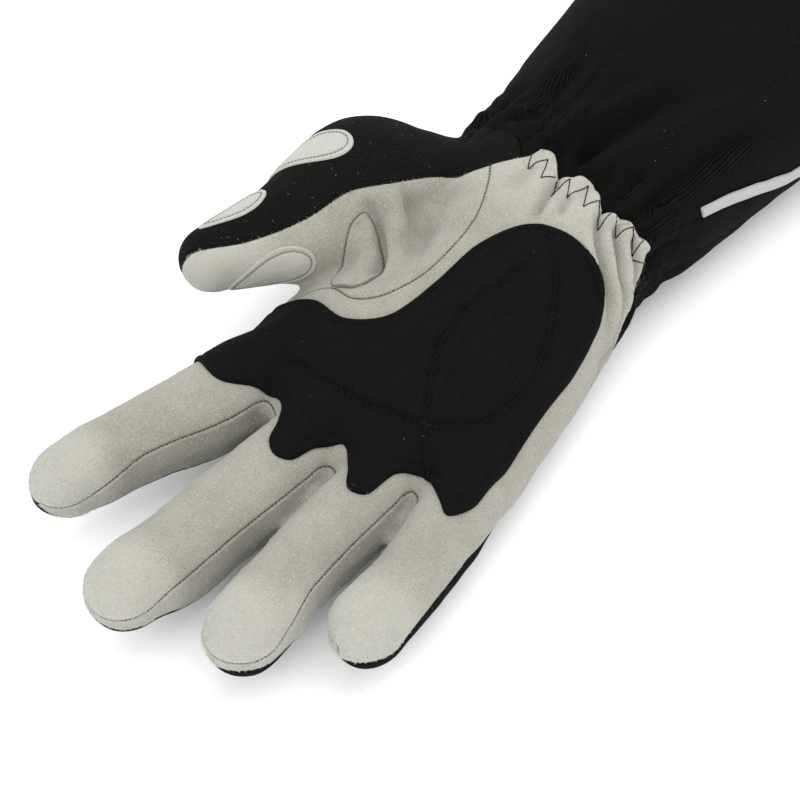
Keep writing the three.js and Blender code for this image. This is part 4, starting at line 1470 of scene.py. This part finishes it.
def thumbPatchPiece(row):
    shape = thumbPatchForm
    facing = unit(np.array(row["faces"], float))
    along = unit(np.array([0, 1, 0]) - facing * facing[1])
    along = np.array(Matrix.Rotation(-math.radians(row["turn"]), 3, Vector(facing)) @ Vector(along))
    across = np.cross(facing, along)
    a = np.linspace(0, 2 * math.pi, 96, endpoint=False)
    taper = 1 - row["tail"] * (0.5 - 0.5 * np.cos(a))
    outline = np.stack([row["length"] / 2 * np.cos(a), row["width"] / 2 * np.sin(a) * taper], 1)
    middle = np.array(row["at"], float)

    def field(at):
        offset = at - middle
        return insideOutline(outline, np.stack([offset @ along, offset @ across], 1))

    points = skinMoved + movedNormals * np.maximum(seamLift, -0.1)[:, None]
    centre = points[skinFaces].mean(1)
    facingUs = movedNormals[skinFaces].mean(1) @ facing > 0.05
    near = (np.linalg.norm(centre - middle, axis=1) < shape["reach"]) & facingUs
    near &= np.isin(panelOf, [panelNames.index("thumb_panel"), panelNames.index("back_panel")])
    points, faces = usedOnly(points, skinFaces[near])
    points, faces, normals, inner = patchSurface((points, faces), field, [0, 0.4, shape["inset"]])
    lift = np.interp(inner, [0, 0.2, 0.5], [shape["edge"], 0.5, shape["thick"]])
    past = inner - shape["inset"]
    gap = np.abs(past)
    lift -= shape["groove"] * bell(gap, shape["grooveWide"])
    lift += shape["pillow"] * (1 - bell(np.maximum(past, 0), shape["pillowReach"]))
    outer = points + normals * lift[:, None]
    solid, faces, corner = rimmed(outer, faces, normals, shape["edge"] + 0.5)
    # The distance to the stitched groove darkens the suede there: painted shade in the groove.
    values = {"seam": np.concatenate([gap, gap[corner]]) + 0.1, "nap": np.full(len(solid), 0.5)}
    made = meshOf("soft_" + row["kind"], solid, faces, values)
    look = looks["palm" if row["kind"] == "thumb_pad_patch" else "patchSuede"]
    return settle(made, look, [row["kind"]]), outer, faces[: -2 * len(corner)], inner


patchLines = {}
for row in thumbPatches:
    pieces[row["kind"]], outer, faces, inner = thumbPatchPiece(row)
    patchLines[row["kind"]] = (outer, faces, inner)
print("patches made")

# A blank ribbon folded in two, its cut edges caught in the cuff's side seam
label = {
    "from": 58, "to": 102, "width": (2.8, 6), "low": 0.2, "lifts": (0.25, 0.65), "thick": 0.22,
    "stations": 89, "across": 10, "foldTurns": (-60, -25, 0, 25, 60),
}


def labelPiece():
    tree = surfaceTree(*surfaces["gauntlet_front"][:2])
    stations = np.linspace(label["from"], label["to"], label["stations"])
    shares = np.linspace(0, 1, label["across"])
    section = [(s, 0, label["lifts"][0]) for s in shares]
    middle = sum(label["lifts"]) / 2
    radius = (label["lifts"][1] - label["lifts"][0]) / 2
    for turn in label["foldTurns"]:
        bend = math.radians(turn)
        section.append((1, radius * math.cos(bend), middle + radius * math.sin(bend)))
    section += [(s, 0, label["lifts"][1]) for s in shares[::-1]]
    points = []
    for y in stations:
        row = rowAt(bodyRows, np.array([y]))
        seamZ = np.interp(y, cuffSeam["y"], cuffSeam["ulnar"])
        width = np.interp(y, [label["from"], label["to"]], label["width"])
        for share, past, lift in section:
            height = label["low"] + share * (width - label["low"]) + past
            above = seamZ + height - row["mid"][0]
            rise = above / row["up" if above > 0 else "down"][0]
            sine = np.clip(abs(rise), 0, 1) ** (row["square"][0] / 2)
            across = math.sqrt(1 - sine**2) ** (2 / row["square"][0])
            guess = (row["x"][0] + across * row["half"][0], y, seamZ + height)
            place, normal = tree.find_nearest(guess)[:2]
            points.append(np.array(place) + np.array(normal) * lift)
    count = len(section)
    i, j = np.meshgrid(np.arange(len(stations) - 1), np.arange(count - 1), indexing="ij")
    a = (i * count + j).ravel()
    b = a + count
    faces = np.concatenate([np.stack([a, b, a + 1], 1), np.stack([a + 1, b, b + 1], 1)])
    points = averaged(np.array(points), faces, np.array(points), 2)
    run = np.linspace(0, 2 * label["width"][1], count)
    cloth = np.stack([np.repeat(stations, count), np.tile(run, len(stations))], 1)
    made = meshOf("soft_care_label", points, faces, None, cloth)
    applyModifier(made, "SOLIDIFY", thickness=label["thick"] * mm, offset=0)
    return settle(made, looks["ribbon"], ["care_label"])


pieces["care_label"] = labelPiece()
print("label made")


# Stitches: one spindle of thread, copied along the seams
def spindle(around, rings):
    bpy.ops.mesh.primitive_uv_sphere_add(segments=around, ring_count=rings, radius=1)
    made = bpy.context.active_object
    applyModifier(made, "TRIANGULATE")
    points, faces = coordinates(made), getFaces(made)
    bpy.data.objects.remove(made)
    return points, faces


threadShape, fibreShape = spindle(6, 5), spindle(4, 2)


def stitched(name, rows, look, shape=threadShape):  # rows of stitches, with places, directions and sizes, as one piece
    spindlePoints, spindleFaces = shape
    points, faces = [], []
    start = 0
    for places, along, normals, length, thick in rows:
        across = unit(np.cross(normals, along))
        length = np.broadcast_to(length, len(places))[:, None]
        local = np.repeat(spindlePoints[None] * thick, len(places), 0)
        local[:, :, 2] *= length / 2 / thick
        block = places[:, None]
        for k, axis in ((2, along), (0, across), (1, normals)):
            block = block + local[:, :, k, None] * axis[:, None]
        points.append(block.reshape(-1, 3))
        offsets = start + np.arange(len(places)) * len(spindlePoints)
        faces.append((offsets[:, None, None] + spindleFaces[None]).reshape(-1, 3))
        start += len(places) * len(spindlePoints)
    made = meshOf(name, np.concatenate(points), np.concatenate(faces))
    return settle(made, looks[look])


def laidRow(path, tree, pitch, length, thick, lift):  # a row of stitches along a line laid on a surface
    places = resampled(onSurface(tree, resampled(path, 0.4))[0], pitch)
    normals = onSurface(tree, places)[1]
    along = unit(np.gradient(places, axis=0))
    return places + normals * lift, along, normals, length, thick


finishedSkin = skinMoved + movedNormals * seamLift[:, None]
skinTree = surfaceTree(finishedSkin, skinFaces)
seamStitch = {"pitch": 1.15, "length": 0.75, "thick": 0.24, "lift": 0.14}
quiltStitch = {"pitch": 1.9, "length": 1.3, "thick": 0.2, "lift": 0.08}
insetStitch = {"pitch": 1.1, "length": 0.85, "thick": 0.17, "lift": 0.1}
greyPairs = [
    ("palm_panel", "fourchette_index_middle"),
    ("palm_panel", "fourchette_middle_ring"),
    ("palm_panel", "fourchette_ring_little"),
    ("palm_panel", "thumb_panel"),
    ("thumb_panel", "thumb_gusset"),
]
blackPairs = [
    ("back_panel", "palm_panel"),
    ("back_panel", "thumb_panel"),
    ("back_panel", "fourchette_index_middle"),
    ("back_panel", "fourchette_middle_ring"),
    ("back_panel", "fourchette_ring_little"),
    ("gauntlet_back", "gauntlet_front"),
]


def seamChains(pairs):  # the seams between these pairs of panels, as lines of points
    edges, owners = seamEdges(skinFaces, panelOf)
    out = []
    for pair in pairs:
        wanted = sorted(panelNames.index(kind) for kind in pair)
        out += [finishedSkin[chain] for chain in chained(edges[(owners == wanted).all(1)]) if len(chain) > 8]
    return out


def seamRows(pairs):
    return [laidRow(chain, skinTree, **seamStitch) for chain in seamChains(pairs)]


# The elastic at the wrist is sewn on with a wide zigzag: as seen on the palm, then evenly round the underside
zigzag = {
    "seen": [
        (-18.6, 34.4), (-15.9, 29.6), (-12.7, 33.8), (-9.9, 28.2), (-7.2, 31.8), (-5.5, 27.7), (-3.7, 32.7),
        (-1, 28.7), (0.7, 35), (4.5, 29), (6.1, 33.3), (10.2, 28.8), (10.9, 34.8), (14.2, 31.4), (15.7, 36.4),
        (19, 32.8), (19.5, 36.5),
    ],
    "middle": (-12, 33.4, 26), "high": 2.4, "legs": 36, "from": 17, "legTurn": 271 / 46, "thick": 0.17, "lift": 0.12,
    "steps": 7, "longest": 4, "overlap": 1.3,
}


def zigzagRows():
    points, faces = np.zeros((0, 3)), np.zeros((0, 3), int)
    for kind in ("palm_panel", "back_panel", "gauntlet_front", "gauntlet_back"):
        faces = np.concatenate([faces, surfaces[kind][1] + len(points)])
        points = np.concatenate([points, surfaces[kind][0]])
    tree = surfaceTree(points, faces)
    shares = np.linspace(0, 1, zigzag["steps"])
    legs = []
    for a, b in zip(zigzag["seen"], zigzag["seen"][1:]):
        steps = [np.array(a) + (np.array(b) - np.array(a)) * s for s in shares]
        legs.append([tree.ray_cast((x, y, overhead), (0, 0, -1)) for x, y in steps])
    x, y, z = zigzag["middle"]
    for i in range(zigzag["legs"]):
        side = 1 if i % 2 else -1
        turns = [math.radians(zigzag["from"] - (i + s) * zigzag["legTurn"]) for s in shares]
        starts = [(x, y + side * zigzag["high"] * (1 - 2 * s), z) for s in shares]
        legs.append([tree.ray_cast(p, (math.cos(t), 0, math.sin(t))) for p, t in zip(starts, turns)])
    legs = [[hit for hit in leg if hit[0]] for leg in legs]
    rows = []
    for leg in legs:
        if len(leg) < 2:
            continue
        places = np.array([hit[0] for hit in leg])
        normals = np.array([hit[1] for hit in leg])
        along = unit(np.diff(places, axis=0))
        gaps = np.linalg.norm(np.diff(places, axis=0), axis=1)
        middles = (places[1:] + places[:-1]) / 2 + normals[1:] * zigzag["lift"]
        for i in np.nonzero(gaps < zigzag["longest"])[0]:
            one = slice(i, i + 1)
            rows.append((middles[one], along[one], normals[1:][one], gaps[i] * zigzag["overlap"], zigzag["thick"]))
    return rows


pieces["seam_stitches"] = stitched("seam_stitches", seamRows(greyPairs), "greyThread")
patchTree = surfaceTree(patchOuter, patchFaces)
blackRows = seamRows(blackPairs) + zigzagRows()
blackRows += [laidRow(path, patchTree, **quiltStitch) for path in quiltPaths]
pieces["black_stitches"] = stitched("black_stitches", blackRows, "blackThread")


def insetRows():
    rows = []
    for kind, (points, faces, inner) in patchLines.items():
        marks = np.zeros((len(faces), 1), bool)
        cutPoints, cutFaces, marks, beyond = cutAlong(points, faces, marks, inner - thumbPatchForm["inset"])
        edges, owners = seamEdges(cutFaces, beyond.astype(int))
        tree = surfaceTree(points, faces)
        chains = [cutPoints[chain] for chain in chained(edges) if len(chain) > 8]
        rows += [laidRow(chain, tree, **insetStitch) for chain in chains]
    return rows


pieces["patch_stitches"] = stitched("patch_stitches", insetRows(), "paleThread")
print("stitches made")

# Fibres that stand off the suede: along its cut edges, and over it where it is rubbed
fuzz = {"length": (0.35, 1.0), "thick": 0.045, "spread": 0.8, "seed": 4, "perMm": 3, "stray": 0.25}
fuzzyPairs = [("back_panel", "thumb_panel"), ("palm_panel", "gauntlet_front"), ("back_panel", "palm_panel")]
napFibres = {
    "count": 12000, "length": (0.5, 1.3), "thick": 0.045, "spread": 0.1, "rise": 0.12, "seed": 9, "even": 0.03,
}


def fibres(points, normals, rng, size):
    along = unit(normals + rng.normal(0, size["spread"], points.shape))
    across = unit(np.cross(along, rng.normal(0, 1, points.shape)))
    lengths = rng.uniform(*size["length"], len(points))
    return points + along * (lengths * 0.35)[:, None], along, across, lengths, size["thick"]


def fuzzRows():
    rng = np.random.default_rng(fuzz["seed"])
    rows = []
    for chain in seamChains(fuzzyPairs):
        path = resampled(chain, 1 / fuzz["perMm"])
        places, normals = onSurface(skinTree, path + rng.normal(0, fuzz["stray"], path.shape))
        rows.append(fibres(places, normals, rng, fuzz))
    return rows


def napRow():  # thickest at the tips, and none under the palm patch
    rng = np.random.default_rng(napFibres["seed"])
    faces = skinFaces[(panelOf > 0) & (panelOf < len(panelNames) - 2)]
    corners = finishedSkin[faces]
    middles = corners.mean(1)
    area = np.linalg.norm(np.cross(corners[:, 1] - corners[:, 0], corners[:, 2] - corners[:, 0]), axis=1)
    weight = area * (napFibres["even"] + np.clip(napOf(middles) - 0.4, 0, 1))
    weight *= (insideOutline(patchOutline, middles) < -0.5) | (middles[:, 2] < patchFloor)
    chosen = rng.choice(len(faces), napFibres["count"], p=weight / weight.sum())
    u = rng.dirichlet((1, 1, 1), len(chosen))
    places = (corners[chosen] * u[:, :, None]).sum(1)
    normals = movedNormals[faces[chosen]].mean(1)
    flat = unit(np.cross(normals, rng.normal(0, 1, normals.shape)))
    return fibres(places, unit(flat + normals * napFibres["rise"]), rng, napFibres)


pieces["suede_fuzz"] = stitched("suede_fuzz", fuzzRows(), "paleThread", fibreShape)
pieces["suede_nap"] = stitched("suede_nap", [napRow()], "napThread", fibreShape)
print("fibres made")

# Studio: a pale floor, a broad soft light from behind and above, and even light all round
studio = {
    "world": 1.4,
    "key": {"place": (0.05, 0.5, 1.25), "size": 1.4, "power": 10},
    "fill": {"place": (0.3, -1.0, 0.5), "size": 1.2, "power": 7},
}


def floorLook():
    made, tree, shader = material("paleFloor", 0.9, 0.0, 0.0)
    where = objectPlace(tree)
    color = blended(tree, noiseOf(tree, where, 30, 2), (0.93, 0.93, 0.93, 1), (0.95, 0.95, 0.95, 1))
    finished(tree, shader, color, noiseOf(tree, where, 900, 2), 0.00002)
    return made


def areaLight(name, place, size, power):
    place = Vector(place)
    turn = (Vector((0, 0, 0.02)) - place).to_track_quat("-Z", "Y").to_euler()
    bpy.ops.object.light_add(type="AREA", location=place, rotation=turn)
    light = bpy.context.active_object
    light.name = name
    light.data.size = size
    light.data.energy = power
    light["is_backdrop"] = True


def studioRoom():
    bpy.ops.mesh.primitive_plane_add(size=8)
    floor = bpy.context.active_object
    floor.name = "floor"
    floor.data.materials.append(floorLook())
    floor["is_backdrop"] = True
    world = bpy.data.worlds.new("softRoom")
    bpy.context.scene.world = world
    world.use_nodes = True
    world.node_tree.nodes["Background"].inputs["Color"].default_value = (1, 1, 1, 1)
    world.node_tree.nodes["Background"].inputs["Strength"].default_value = studio["world"]
    for name in ("key", "fill"):
        areaLight(name, studio[name]["place"], studio[name]["size"], studio[name]["power"])
    bpy.context.scene.view_settings.view_transform = "Standard"


studioRoom()
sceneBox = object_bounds()
for axis, (cadLow, cadHigh, low, high) in enumerate(zip(*cadBox, *sceneBox)):
    print("XYZ"[axis], round(cadLow, 4), round(cadHigh, 4), "against", round(low, 4), round(high, 4))
